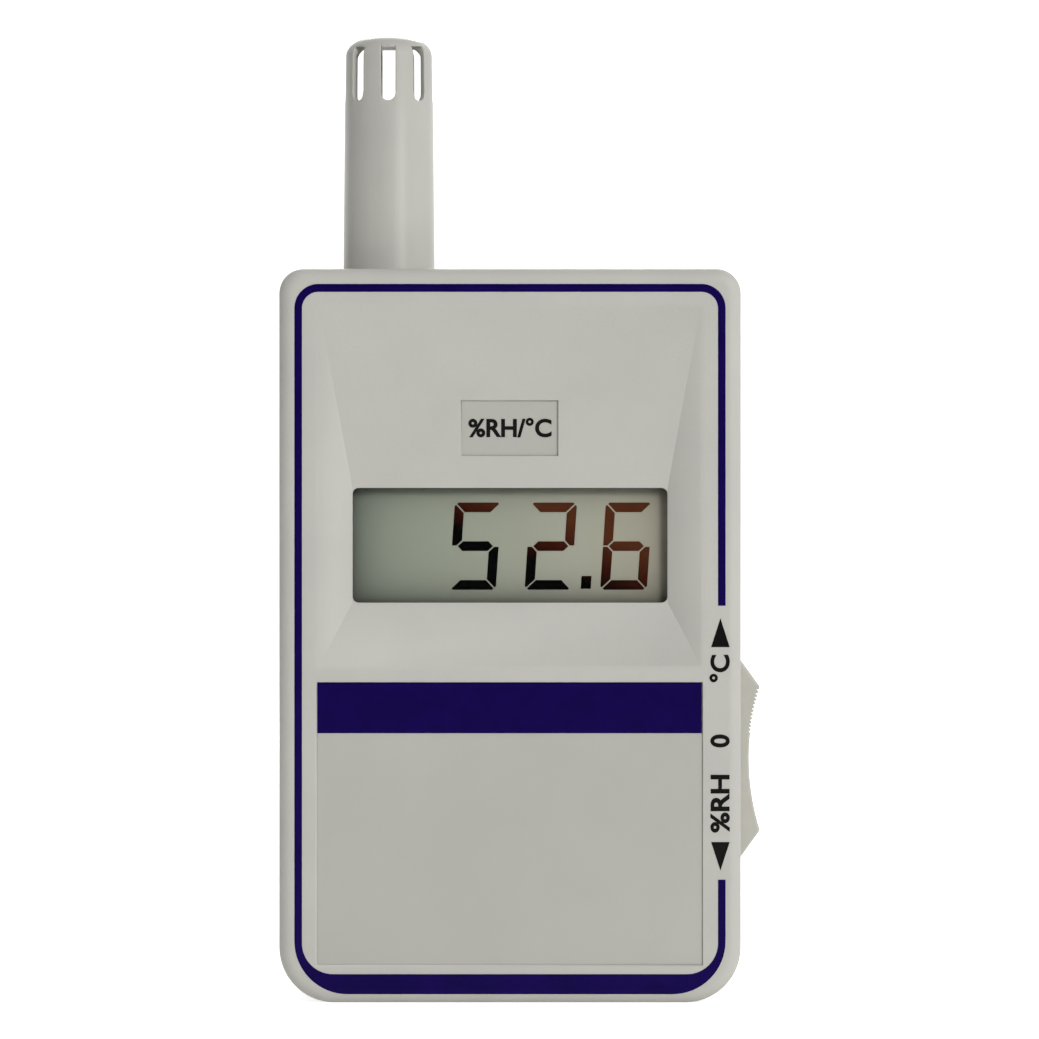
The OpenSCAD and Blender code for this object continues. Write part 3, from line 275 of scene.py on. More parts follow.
def makeCellMaterial(spec):
    # Liquid crystal cell between polarisers over a reflector: a matt grey-green, with painted light that
    # makes it lighter and warmer to the right. Painted shade of the window's walls darkens it near the
    # window's sides, where less light reaches the reflector: 1 - a * exp(-distance / reach).
    material, tree, shader, place = newMaterial("lcd_polariser")
    x, _, z = split(tree, place)
    half = spec["half"]
    across = spread(tree, x, (-half * mm, half * mm), (0, 1))
    size, share = spec["grain"]
    mixed = compute(tree, "MULTIPLY_ADD", noise(tree, place, size, 1.0), share, across)
    # painted shade of the window's walls, one factor for each side
    light = 1.0
    for side, axis, sign, edge in (
        ("left", x, 1, -half),
        ("right", x, -1, half),
        ("top", z, -1, spec["high"]),
        ("bottom", z, 1, spec["low"]),
    ):
        amount, reach = spec[side]
        steps = compute(tree, "MULTIPLY_ADD", axis, -sign / (reach * mm), sign * edge / reach)
        fall = compute(tree, "EXPONENT", steps)
        passed = compute(tree, "MULTIPLY_ADD", fall, -amount, 1.0, clamp=True)
        light = compute(tree, "MULTIPLY", light, passed)
    inputs = {"Vector": ramp(tree, mixed, spec["stops"]), "Scale": light}
    shaded = addNode(tree, "VectorMath", {"operation": "SCALE"}, inputs).outputs["Vector"]
    setInputs(tree, shader, {"Base Color": shaded, "Roughness": spec["roughness"], "IOR": 1.5})
    return material


# How the segments turn brown: a value at the point (x, z), its rise per mm to the right and
# upwards, the grain's size in mm and its share, and the colours along the value.
fading = {
    "x": 5, "z": 66.2, "value": 0.42, "perRight": 0.042, "perUp": 0.1, "grain": (0.3, 0.1),
    "stops": ((0.2, "#020202"), (0.55, "#3a150b"), (1.0, "#552e1c")),
    "roughness": 0.25, "gloss": 0.08,
}


def makeSegmentMaterial(spec):
    # Driven segments: black, but brown towards the upper right, where the cell's contrast falls off.
    material, tree, shader, place = newMaterial("lcd_segment")
    x, _, z = split(tree, place)
    start = spec["value"] - spec["perRight"] * spec["x"] - spec["perUp"] * spec["z"]
    byX = compute(tree, "MULTIPLY_ADD", x, spec["perRight"] / mm, start)
    byBoth = compute(tree, "MULTIPLY_ADD", z, spec["perUp"] / mm, byX)
    size, share = spec["grain"]
    mixed = compute(tree, "MULTIPLY_ADD", noise(tree, place, size, 1.0), share, byBoth)
    inputs = {
        "Base Color": ramp(tree, mixed, spec["stops"]),
        "Roughness": spec["roughness"],
        "Specular IOR Level": spec["gloss"],
    }
    setInputs(tree, shader, inputs)
    return material


# The battery's print from foot to top as shares of its height, and its scratches' size in mm
jacketPrint = {
    "stops": (
        (0.0, "#b8b9ba"), (0.035, "#b8b9ba"), (0.04, "#22262e"), (0.7, "#262b34"),
        (0.705, "#8f3a2a"), (0.96, "#963e2e"), (0.965, "#b8b9ba"),
    ),
    "scratches": 0.8, "roughness": (0.2, 0.4), "metallic": 0.35,
}


def makeJacketMaterial(spec):
    # Lacquered steel jacket of the battery: dark below and red-brown above, with a plain silver band
    # at each crimped end.
    material, tree, shader, place = newMaterial("lacquered_steel_jacket")
    low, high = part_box("battery")
    along = spread(tree, split(tree, place)[2], (low.z, high.z), (0, 1))
    scratches = noise(tree, place, spec["scratches"], 3.0)
    inputs = {
        "Base Color": ramp(tree, along, spec["stops"]),
        "Roughness": spread(tree, scratches, (0, 1), spec["roughness"]),
        "Metallic": spec["metallic"],
    }
    setInputs(tree, shader, inputs)
    return material


boardMask = makeBoardMaterial(tracks)
clearPane = makePaneMaterial(pane)
cellFace = makeCellMaterial(cell)
segmentInk = makeSegmentMaterial(fading)
jacket = makeJacketMaterial(jacketPrint)
print("materials ready")

nodeFinish = {
    shellAbs: ["front_shell", "rear_shell", "battery_cover"],
    tubeAbs: ["sensor_tube"],
    knobAbs: ["switch_knob"],
    labelFilm: ["front_label", "unit_label"],
    clearPane: ["display_window"],
    cellFace: ["lcd_front_glass", "lcd_rear_glass"],
    mirrorFoil: ["lcd_reflector"],
    tinnedMetal: [
        "housing_screws", "lcd_pins", "board_screws", "converter_pins", "amplifier_pins",
        "resistor_leads", "switch_case", "switch_pins", "sensor_header_pins", "sensor_leads",
        "battery_terminals", "clip_contacts",
    ],
    boardMask: ["main_board", "sensor_board"],
    chipEpoxy: [
        "converter_chip", "amplifier_chips", "voltage_regulator", "switch_lever", "sensor_header",
    ],
    redLacquer: ["film_capacitors"],
    sleeveVinyl: ["electrolytic_capacitors"],
    resistorLacquer: ["resistors"],
    trimmerNylon: ["trimmers"],
    brassMetal: ["trimmer_screws"],
    laminate: ["switch_base"],
    sensorPlastic: ["humidity_sensor", "temperature_sensor"],
    goldFoil: ["humidity_foil"],
    jacket: ["battery"],
    blackVinyl: ["battery_clip"],
    redWire: ["positive_lead"],
    blackWire: ["negative_lead"],
}
for material, names in nodeFinish.items():
    for name in names:
        nodes[name].data.materials.clear()
        nodes[name].data.materials.append(material)
print("CAD nodes finished")


# A mesh object at the origin from points in mm and faces as index lists.
def putMesh(name, points, faces):
    mesh = bpy.data.meshes.new(name)
    mesh.from_pydata(np.asarray(points, float) * mm, [], [list(f) for f in faces])
    mesh.update()
    return addObject(name, mesh)


# A value of every item of a mesh as an array of rows.
def readValues(items, name, size=3):
    values = np.zeros(len(items) * size, np.float32)
    items.foreach_get(name, values)
    return values.reshape(-1, size)


# An editable shape of a mesh with corners merged within a gap in m, and the way back.
def mergedShape(mesh, gap):
    shape = bmesh.new()
    shape.from_mesh(mesh)
    bmesh.ops.remove_doubles(shape, verts=shape.verts, dist=gap)
    return shape


def writeShape(shape, mesh):
    shape.to_mesh(mesh)
    shape.free()


# A new mesh of an object as its modifiers leave it.
def evaluatedMesh(piece):
    bpy.context.view_layer.update()
    evaluated = piece.evaluated_get(bpy.context.evaluated_depsgraph_get())
    return bpy.data.meshes.new_from_object(evaluated)


# Rounds the edges that have a bevel weight, by their share of the width.
def addBevel(piece, width):
    bevel = piece.modifiers.new("edges", "BEVEL")
    bevel.limit_method = "WEIGHT"
    bevel.width = width * mm
    bevel.segments = 3
    bevel.use_clamp_overlap = False
    return bevel


# Smooth faces with area-weighted normals, which keep flats flat beside rounded edges.
def shadeSmooth(piece):
    piece.data.polygons.foreach_set("use_smooth", np.ones(len(piece.data.polygons), bool))
    normals = piece.modifiers.new("normals", "WEIGHTED_NORMAL")
    normals.keep_sharp = True
    normals.weight = 100
    return piece


# Gives a piece its material and its body.
def dress(piece, material, body):
    piece.data.materials.clear()
    piece.data.materials.append(material)
    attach(piece, body)
    return piece


# Quads between neighbours of a rows by columns grid of points.
def gridFaces(rows, columns, closeRows=False, closeColumns=False):
    r = np.arange(rows if closeRows else rows - 1)[:, None]
    c = np.arange(columns if closeColumns else columns - 1)[None, :]
    r2, c2 = (r + 1) % rows, (c + 1) % columns
    quads = np.stack([r * columns + c, r * columns + c2, r2 * columns + c2, r2 * columns + c], -1)
    return quads.reshape(-1, 4).tolist()


# Points (x, z) seen from the front, put at a depth y.
def onFront(flat, y):
    flat = np.asarray(flat, float)
    return np.column_stack([flat[:, 0], np.full(len(flat), float(y)), flat[:, 1]])


# Closed plates between two depths, one for each outline of (x, z) points, anticlockwise.
def prism(name, outlines, front, back):
    points, faces, start = [], [], 0
    for outline in outlines:
        n = len(outline)
        points += [onFront(outline, front), onFront(outline, back)]
        i = start + np.arange(n)
        j = np.roll(i, -1)
        faces += [i.tolist(), (i[::-1] + n).tolist()]
        faces += np.column_stack([j, i, i + n, j + n]).tolist()
        start += 2 * n
    return putMesh(name, np.concatenate(points), faces)


# The housing from the front: half its width, its height, the radii of its lower and upper corners;
# the radius along its front edge, the depth of its front.
housing = {"half": 33.5, "high": 106.5, "lowCorner": 8.0, "highCorner": 3.6, "edge": 1.8, "front": -15.0}


# How far points (x, z) lie inside the housing's outline, a rectangle with round corners: the
# corner's radius less the distance from the corner's middle, or less the distance past it where
# the outline is straight.
def wayIn(flat):
    x, z = np.abs(flat[:, 0]), flat[:, 1] - housing["high"] / 2
    corner = np.where(z > 0, housing["highCorner"], housing["lowCorner"])
    qx, qz = x - (housing["half"] - corner), np.abs(z) - (housing["high"] / 2 - corner)
    outside = np.hypot(np.maximum(qx, 0), np.maximum(qz, 0)) + np.minimum(np.maximum(qx, qz), 0)
    return corner - outside


# Rounded edges of the moulded pieces, in mm. Each zone is a box with a radius of its own; the first
# zone that holds both ends of an edge counts, and a radius of 0 keeps it sharp. So does the inside:
# what lies deeper than innerSkin in from the outline, between two depths.
innerSkin = 0.45
rounding = {
    "front_shell": {
        "radius": 0.15, "inside": (-13.1, 1.3),
        "zones": (
            # the window's corners, then its rim
            ((21.9, -12.1, 57.9), (23, -11.9, 59), 0),
            ((-23, -12.1, 57.9), (-21.9, -11.9, 59), 0),
            ((21.9, -12.1, 73.7), (23, -11.9, 74.8), 0),
            ((-23, -12.1, 73.7), (-21.9, -11.9, 74.8), 0),
            ((-23.1, -12.1, 57.8), (23.1, -11.4, 74.9), 0.2),
            # the unit label's field: right and upper side, then the others
            ((6.9, -14.3, 79), (7.3, -12.4, 87.7), 0.08),
            ((-7.3, -14.3, 87.2), (7.3, -12.4, 87.7), 0.08),
            ((-7.3, -14.3, 79), (7.3, -12.4, 87.7), 0.3),
            # the recess's rim
            ((-28.1, -15.1, 48.5), (28.1, -14.9, 101.2), 0.45),
            # the front label's field: right and upper side, then the others
            ((27.8, -15.1, 5.4), (28.1, -14.6, 46.7), 0.08),
            ((-28.1, -15.1, 46.4), (28.1, -14.6, 46.7), 0.08),
            ((-28.1, -15.1, 5.4), (28.1, -14.6, 46.7), 0.33),
        ),
    },
    # the screw wells touch the round back edge, so they stay sharp there
    "rear_shell": {
        "radius": 0.15, "inside": (-5, 13.1),
        "zones": (
            ((30.3, 14.9, 6.2), (31.5, 15.1, 9.4), 0),
            ((-31.5, 14.9, 6.2), (-30.3, 15.1, 9.4), 0),
            ((30.3, 14.9, 95.9), (31.5, 15.1, 99.2), 0),
            ((-31.5, 14.9, 95.9), (-30.3, 15.1, 99.2), 0),
        ),
    },
    "battery_cover": {"radius": 0.15, "inside": None, "zones": ()},
    "switch_knob": {
        "radius": 0.3, "inside": None,
        "zones": (
            # the grip teeth, then the edge above them
            ((33.6, -8, 38.9), (36.6, 3, 45.6), 0.06),
            ((33.6, -8, 45.2), (36.6, 3, 45.8), 0.12),
        ),
    },
}


# Numbers the planes that the faces lie in, from their normals and distances, rounded to 0.002 and
# 0.02 mm.
def markPlanes(mesh):
    normals, centres = readValues(mesh.polygons, "normal"), readValues(mesh.polygons, "center")
    away = (normals * centres).sum(1) / mm
    keys = np.round(np.column_stack([normals * 500, away * 50]))
    plane = np.unique(keys, axis=0, return_inverse=True)[1].astype(np.int32).ravel()
    mesh.attributes.new("plane", "INT", "FACE").data.foreach_set("value", plane)


# Lays each flat out anew in even triangles between its rims, because rounding moves the corners of
# the old ones and could fold them over.
def layFlats(mesh):
    shape = mergedShape(mesh, 1e-6)
    plane = shape.faces.layers.int["plane"]
    flats = {}
    for face in shape.faces:
        if face.material_index == 0:
            flats.setdefault(face[plane], []).append(face)
        face.material_index = 0
    for faces in flats.values():
        if sum(len(face.verts) for face in faces) < 5:
            continue  # a lone triangle or quad
        members = set(faces)
        rim = [e for face in faces for e in face.edges if sum(f in members for f in e.link_faces) == 1]
        corners = list({corner: None for edge in rim for corner in edge.verts})
        number = {corner: i for i, corner in enumerate(corners)}
        normal = sum((face.normal * face.calc_area() for face in faces), Vector()).normalized()
        right = normal.orthogonal().normalized()
        up = normal.cross(right)
        flat = [Vector((corner.co.dot(right), corner.co.dot(up))) / mm for corner in corners]
        sides = [(number[edge.verts[0]], number[edge.verts[1]]) for edge in rim]
        made, _, triangles, sources = geometry.delaunay_2d_cdt(flat, sides, [], 0, 1e-6)[:4]
        if len(made) != len(corners) or any(len(source) != 1 for source in sources):
            where = tuple(round(c / mm, 1) for c in corners[0].co)
            print("kept as it was:", mesh.name, len(faces), where)
            continue
        # a triangle belongs to the flat where a line from its middle crosses the rims an odd
        # number of times
        triangles = np.array(triangles)
        middle = np.array(made)[triangles].mean(1)[:, None, :]
        a, b = np.array(flat)[np.array(sides)].transpose(1, 0, 2)
        spans = (a[:, 1] > middle[..., 1]) != (b[:, 1] > middle[..., 1])
        slope = (b[:, 0] - a[:, 0]) / np.where(b[:, 1] == a[:, 1], 1, b[:, 1] - a[:, 1])
        crossed = spans & (middle[..., 0] < a[:, 0] + slope * (middle[..., 1] - a[:, 1]))
        bmesh.ops.delete(shape, geom=faces, context="FACES_KEEP_BOUNDARY")
        for triangle in triangles[crossed.sum(1) % 2 == 1].tolist():
            shape.faces.new([corners[sources[i][0]] for i in triangle])
    writeShape(shape, mesh)


# Which corners of a shape lie on the inside.
def isInside(shape, depths):
    shape.verts.index_update()
    if depths is None:
        return np.zeros(len(shape.verts), bool)
    merged = bpy.data.meshes.new("merged")
    shape.to_mesh(merged)
    places = readValues(merged.vertices, "co") / mm
    bpy.data.meshes.remove(merged)
    deep = wayIn(places[:, [0, 2]]) > innerSkin
    return deep & (places[:, 1] > depths[0]) & (places[:, 1] < depths[1])


# The radius of an edge by the rules above.
def edgeRadius(edge, spec, within):
    if all(within[v.index] for v in edge.verts):
        return 0
    ends = [v.co / mm for v in edge.verts]
    for low, high, radius in spec["zones"]:
        if all(low[i] <= end[i] <= high[i] for end in ends for i in range(3)):
            return radius
    return spec["radius"]


# Degrees between two faces: above "real" their edge is a real one, below "level" they are one flat
turns = {"real": 5.0, "level": 0.05}


# A merged copy of a CAD node with its outer edges rounded. Real edges are told by the exact normals
# of their faces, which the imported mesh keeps. Hollow ones stay sharp, as in a mould cut by milling.
def roundedCopy(node, spec):
    mesh = nodes[node].data.copy()
    mesh.name = node + "_rounded"
    normals = readValues(mesh.corner_normals, "vector").ravel()
    mesh.attributes.new("exact", "FLOAT_VECTOR", "CORNER").data.foreach_set("vector", normals)
    widest = max([spec["radius"]] + [zone[2] for zone in spec["zones"]])
    shape = mergedShape(mesh, 1e-7)
    exact = shape.loops.layers.float_vector["exact"]
    weight = shape.edges.layers.float.new("bevel_weight_edge")
    within = isInside(shape, spec["inside"])
    flat = []
    for edge in shape.edges:
        if len(edge.link_loops) != 2:
            continue
        a, b = edge.link_loops
        turn = min(a[exact].dot(b.link_loop_next[exact]), a.link_loop_next[exact].dot(b[exact]))
        angle = edge.calc_face_angle_signed(0)
        if turn < math.cos(math.radians(turns["real"])):
            radius = edgeRadius(edge, spec, within)
            if angle > 0 and radius > 0:
                edge[weight] = radius / widest
            else:
                edge.smooth = False
        elif abs(angle) < math.radians(turns["level"]):
            flat.append(edge)
    bmesh.ops.dissolve_edges(shape, edges=flat, use_verts=False, use_face_split=False)
    shape.loops.layers.float_vector.remove(exact)
    writeShape(shape, mesh)
    markPlanes(mesh)
    piece = addObject(mesh.name, mesh)
    bevel = addBevel(piece, widest)
    bevel.loop_slide = False
    # the rounded edges get a second slot, so that the flats can be told from them
    mesh.materials.clear()
    for slot in range(2):
        mesh.materials.append(shellAbs)
    bevel.material = 1
    piece.data = evaluatedMesh(piece)
    piece.modifiers.clear()
    layFlats(piece.data)
    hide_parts(node)
    return shadeSmooth(piece)


for node, material, body, slot in (
    ("front_shell", shellAbs, "housing", "shell_plastic"),
    ("rear_shell", shellAbs, "housing", "shell_plastic"),
    ("battery_cover", shellAbs, "cover", "shell_plastic"),
    ("switch_knob", knobAbs, "switch_slider", "knob_plastic"),
):
    piece = dress(roundedCopy(node, rounding[node]), material, body)
    print("rounded:", node, len(piece.data.polygons))


# How far back the shell's front lies at points (x, z): where the way in from the outline is less
# than the front edge's radius, it is front + edge - sqrt(edge^2 - (edge - way)^2).
def frontDepth(flat):
    over = np.clip(housing["edge"] - wayIn(flat), 0, housing["edge"])
    return housing["front"] + housing["edge"] - np.sqrt(housing["edge"] ** 2 - over**2)


border = {
    # half width, lower and upper side, lower and upper corner radius of the line's two sides
    "outer": (31.25, 1.29, 104.25, 7.7, 3.5),
    "inner": (30.15, 4.2, 103.1, 4.5, 2.4),
    # heights of the line's two ends, below and above the switch
    "gap": (17.9, 57.6),
    # steps round a corner and points across the line
    "steps": 16, "across": 9,
    # how far the ink stands on the shell and reaches into it
    "ink": 0.02, "sunk": 0.04,
}


# A round-cornered line from the gap's upper end round the housing to its lower end: four quarter
# circles about the corners drawn in by their radius, joined by straight runs.
def borderLine(spec, half, low, high, lowRadius, highRadius):
    corners = [
        (half - highRadius, high - highRadius, highRadius, 0),
        (highRadius - half, high - highRadius, highRadius, 90),
        (lowRadius - half, low + lowRadius, lowRadius, 180),
        (half - lowRadius, low + lowRadius, lowRadius, 270),
    ]
    line = [np.array([[half, spec["gap"][1]]])]
    for x, z, r, start in corners:
        a = np.radians(start + np.linspace(0, 90, spec["steps"] + 1))
        line.append(np.column_stack([x + r * np.cos(a), z + r * np.sin(a)]))
    line.append(np.array([[half, spec["gap"][0]]]))
    return np.concatenate(line)


# A thin closed band between the border's two lines: across it, points are blended from one line
# to the other, once just over the shell's surface and once just under it.
def makeBorder(spec):
    outer, inner = borderLine(spec, *spec["outer"]), borderLine(spec, *spec["inner"])
    n, rows = len(outer), []
    shares = np.linspace(0, 1, spec["across"])
    for share, lift in [(t, -spec["ink"]) for t in shares] + [(t, spec["sunk"]) for t in shares[::-1]]:
        flat = inner + share * (outer - inner)
        rows.append(np.column_stack([flat[:, 0], frontDepth(flat) + lift, flat[:, 1]]))
    faces = gridFaces(len(rows), n, closeRows=True)
    faces.append([i * n for i in range(len(rows))])
    faces.append([i * n + n - 1 for i in reversed(range(len(rows)))])
    return putMesh("border_stripe", np.concatenate(rows), faces)


dress(makeBorder(border), navyInk, "housing")

# Two arrows beside the switch, by the heights of foot and tip
arrows = {
    "x": 30.5, "width": 2.7, "up": (51.6, 55.8), "down": (23.35, 19.2),
    "front": -15.02, "back": -14.97,
}


def arrowOutline(spec, foot, tip):
    half = math.copysign(spec["width"] / 2, tip - foot)
    return [(spec["x"] - half, foot), (spec["x"] + half, foot), (spec["x"], tip)]


outlines = [arrowOutline(arrows, *arrows[way]) for way in ("up", "down")]
marks = prism("switch_arrows", outlines, arrows["front"], arrows["back"])
dress(marks, blackInk, "housing")

# Where the films lie in their fields: pushed to the lower left, as stuck on by hand, and thin, so
# that the field's rim casts its shadow on them. Ends are distances across and up the face, on a
# slope from the label's middle. angle is how far that slope leans, in degrees.
films = {
    "front_label": {"across": (-27.93, 27.82), "up": (5.57, 46.5), "thick": 0.07, "angle": 0},
    "unit_label": {"across": (-6.98, 6.74), "up": (-4.03, 3.88), "thick": 0.07, "angle": 6.483},
}


# The direction up a face that leans over by an angle in degrees.
def slopeWay(angle):
    return np.array([0, -math.sin(math.radians(angle)), math.cos(math.radians(angle))])


# A merged copy of a label whose two ends are moved in each direction: low + share * (high - low).
# It keeps its back face.
def laidFilm(node, spec):
    mesh = bpy.data.meshes.new(node + "_film")
    writeShape(mergedShape(nodes[node].data, 1e-7), mesh)
    places = readValues(mesh.vertices, "co").astype(float) / mm
    across, up = np.array([1.0, 0, 0]), slopeWay(spec["angle"])
    inward = np.cross(up, across)
    middle = (places @ up).mean() if spec["angle"] else 0
    floor = (places @ inward).max()
    for way, low, high in (
        (across, spec["across"][0], spec["across"][1]),
        (up, middle + spec["up"][0], middle + spec["up"][1]),
        (inward, floor - spec["thick"], floor),
    ):
        at = places @ way
        share = (at - at.min()) / (at.max() - at.min())
        places += np.outer(low + share * (high - low) - at, way)
    mesh.vertices.foreach_set("co", (places * mm).astype(np.float32).ravel())
    mesh.update()
    piece = addObject(mesh.name, mesh)
    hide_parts(node)
    return piece


for name, spec in films.items():
    dress(laidFilm(name, spec), labelFilm, "housing")

# The bar along the label's upper side, from left to right and from its lower side to its upper one
blueBar = {"across": (-27.93, 27.82), "up": (39.11, 46.54), "front": -14.74, "back": -14.69}
(left, right), (low, high) = blueBar["across"], blueBar["up"]
outline = [(left, low), (right, low), (right, high), (left, high)]
bar = prism("blue_bar", [outline], blueBar["front"], blueBar["back"])
dress(bar, navyInk, "housing")

# Printed letters: gain of the stroke as a share of the size, thickness in mm, steps along a curve
inkType = {"bolder": 0.03, "thick": 0.04, "steps": 6}


# Words in the built-in typeface as a thin solid: scaled to a cap height, that of an H, and a width,
# with their middle at origin on the plane of right and up.
def lettering(name, words, capHeight, width, origin, right, up):
    meshes = []
    for text in ("H", words):
        curve = bpy.data.curves.new(name, "FONT")
        curve.body = text
        curve.size = 1
        curve.offset = inkType["bolder"]
        curve.extrude = 0.02  # any depth, replaced below
        curve.resolution_u = inkType["steps"]
        holder = addObject(name, curve)
        meshes.append(evaluatedMesh(holder))
        bpy.data.objects.remove(holder)
    tall, points = [readValues(made.vertices, "co") for made in meshes]
    base, top = tall[:, 1].min(), tall[:, 1].max()
    left, end = points[:, 0].min(), points[:, 0].max()
    u = ((points[:, 0] - left) / (end - left) - 0.5) * width
    v = ((points[:, 1] - base) / (top - base) - 0.5) * capHeight
    w = np.where(points[:, 2] > 0, inkType["thick"] / 2, -inkType["thick"] / 2)
    right, up = Vector(right).normalized(), Vector(up).normalized()
    placed = np.array(origin) + np.outer(u, right) + np.outer(v, up) + np.outer(w, right.cross(up))
    mesh = meshes[1]
    mesh.vertices.foreach_set("co", (placed * mm).astype(np.float32).ravel())
    writeShape(mergedShape(mesh, 1e-6), mesh)
    mesh.update()
    return addObject(name, mesh)


# Switch legends, read upwards along the right side: words, height of their middle, and width
legends = {
    "x": 30.45, "depth": -15.0, "capHeight": 2.75,
    "words": {
        "temperature_legend": ("°C", 48.5, 4.0),
        "off_legend": ("0", 38.0, 1.9),
        "humidity_legend": ("%RH", 28.9, 8.4),
    },
}
for name, (words, z, width) in legends["words"].items():
    place = (legends["x"], legends["depth"], z)
    piece = lettering(name, words, legends["capHeight"], width, place, (0, 0, 1), (-1, 0, 0))
    dress(piece, blackInk, "housing")

# Unit legend on the upper slope's label, a little deeper than the middle of the label's solid,
# because the film is thinner
unitType = {"words": "%RH/°C", "capHeight": 2.66, "width": 12.1, "deeper": 0.02}
labelLow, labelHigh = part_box("unit_label")
labelMiddle = (labelLow + labelHigh) / 2 / mm
upSlope = slopeWay(films["unit_label"]["angle"])
outward = np.cross((1, 0, 0), upSlope)
place = np.array([0, labelMiddle.y, labelMiddle.z]) - outward * unitType["deeper"]
unitLegend = lettering(
    "unit_legend", unitType["words"], unitType["capHeight"], unitType["width"], place, (1, 0, 0), upSlope
)
dress(unitLegend, blackInk, "housing")
print("prints ready")

# The reading: seven-segment digits that lean to the right by slant per height. gap lies between two
# segments, chamfer cuts the outer corners, left holds the digits' places.
digit = {
    "width": 6.8, "height": 12.7, "stroke": 1.4, "gap": 0.2, "chamfer": 0.6, "slant": 0.067,
    "left": (-8.88, 2.12, 13.12), "low": 59.87,
    # left side, height over the digits' foot, width and height of the decimal point
    "point": (10.3, 0.15, 1.45, 1.86),
    "front": -9.93, "back": -9.88,
}
lit = ("afgcd", "abged", "afgedc")  # 5, 2 and 6


# The outline with every side moved inwards: each new corner is where the two moved lines cross.
def drawnIn(outline, inset):
    p = np.asarray(outline, float)
    along = np.roll(p, -1, 0) - p
    along /= np.linalg.norm(along, axis=1)[:, None]
    inward = np.column_stack([-along[:, 1], along[:, 0]])
    before, inwardBefore = np.roll(along, 1, 0), np.roll(inward, 1, 0)
    cross = before[:, 0] * along[:, 1] - before[:, 1] * along[:, 0]
    shift = inset * (inward - inwardBefore)
    t = (shift[:, 0] * along[:, 1] - shift[:, 1] * along[:, 0]) / cross
    return p + inset * inwardBefore + before * t[:, None]


# The seven mitred segments of one digit, anticlockwise, before their gaps are taken off.
def segmentOutlines(spec):
    g = spec["gap"]
    w, h, t = spec["width"] + g, spec["height"] + g, spec["stroke"] + g
    m, c = h / 2, spec["chamfer"]
    a = [(c, h), (c / 2, h - c / 2), (t, h - t), (w - t, h - t), (w - c / 2, h - c / 2), (w - c, h)]
    low, high = m - t / 2, m + t / 2
    f = [(c / 2, h - c / 2), (0, h - c), (0, m), (t / 2, m), (t, high), (t, h - t)]
    e = [(t / 2, m), (0, m), (0, c), (c / 2, c / 2), (t, t), (t, low)]
    middle = [(t / 2, m), (t, low), (w - t, low), (w - t / 2, m), (w - t, high), (t, high)]
    mirrorX = lambda line: [(w - x, z) for x, z in reversed(line)]
    mirrorZ = lambda line: [(x, h - z) for x, z in reversed(line)]
    return {"a": a, "f": f, "e": e, "g": middle, "b": mirrorX(f), "c": mirrorX(e), "d": mirrorZ(a)}


# Puts points over a digit's foot in their place and leans them over.
def lean(spec, p, left, low):
    return np.column_stack([left + p[:, 0] + spec["slant"] * p[:, 1], low + p[:, 1]])


def readingOutlines(spec):
    shapes = segmentOutlines(spec)
    outlines = []
    for left, letters in zip(spec["left"], lit):
        for letter in letters:
            p = drawnIn(shapes[letter], spec["gap"] / 2) - spec["gap"] / 2
            outlines.append(lean(spec, p, left, spec["low"]))
    left, over, width, height = spec["point"]
    p = np.array([(0, 0), (width, 0), (width, height), (0, height)])
    outlines.append(lean(spec, p, left, spec["low"] + over))
    return outlines


reading = prism("display_segments", readingOutlines(digit), digit["front"], digit["back"])
dress(reading, segmentInk, "housing")
print("display ready")

# Sensor tube: its walls as grids of angle and height, with the slots left out of both
tube = {
    "x": -17.8,
    # height and radius at both ends of the taper, then width and height of the dome above it
    "straight": ((106.5, 6.7), (138.2, 6.4)),
    "dome": (5.6, 3.0),
    "innerStraight": ((99.7, 5.95), (137.9, 5.65)),
    "innerDome": (5.225, 2.1),
    # heights and radii of the collar inside the housing
    "collar": ((99.7, 6.7), (102.3, 6.7), (102.3, 8.5), (104.3, 8.5), (104.3, 6.7), (106.5, 6.7)),
    "slots": 8, "slotHalf": 1.05, "slotLow": 131.4, "slotHigh": 139.4,
    # steps across a slot, to the next slot, up the dome beside the slots and above them
    "slotSteps": 8, "between": 11, "slotDomeSteps": 4, "domeSteps": 8,
    # two rows of points: one at a height halfway up, one this far under the slots
    "halfway": 118.0, "under": 1.5,
    # radius along the slots' outer rims
    "edge": 0.18,
    # degrees from which a turn is a sharp edge
    "sharp": 40,
}


# A straight taper between two heights, then a quarter ellipse of width w and height h: r - w + w
# * sqrt(1 - ((z - start) / h)^2).
def wallRadius(z, straight, dome):
    (lowZ, lowR), (highZ, highR) = straight
    taper = lowR + (highR - lowR) * (np.minimum(z, highZ) - lowZ) / (highZ - lowZ)
    share = np.clip((z - highZ) / dome[1], 0, 1)
    return taper - dome[0] + dome[0] * np.sqrt(1 - share**2)


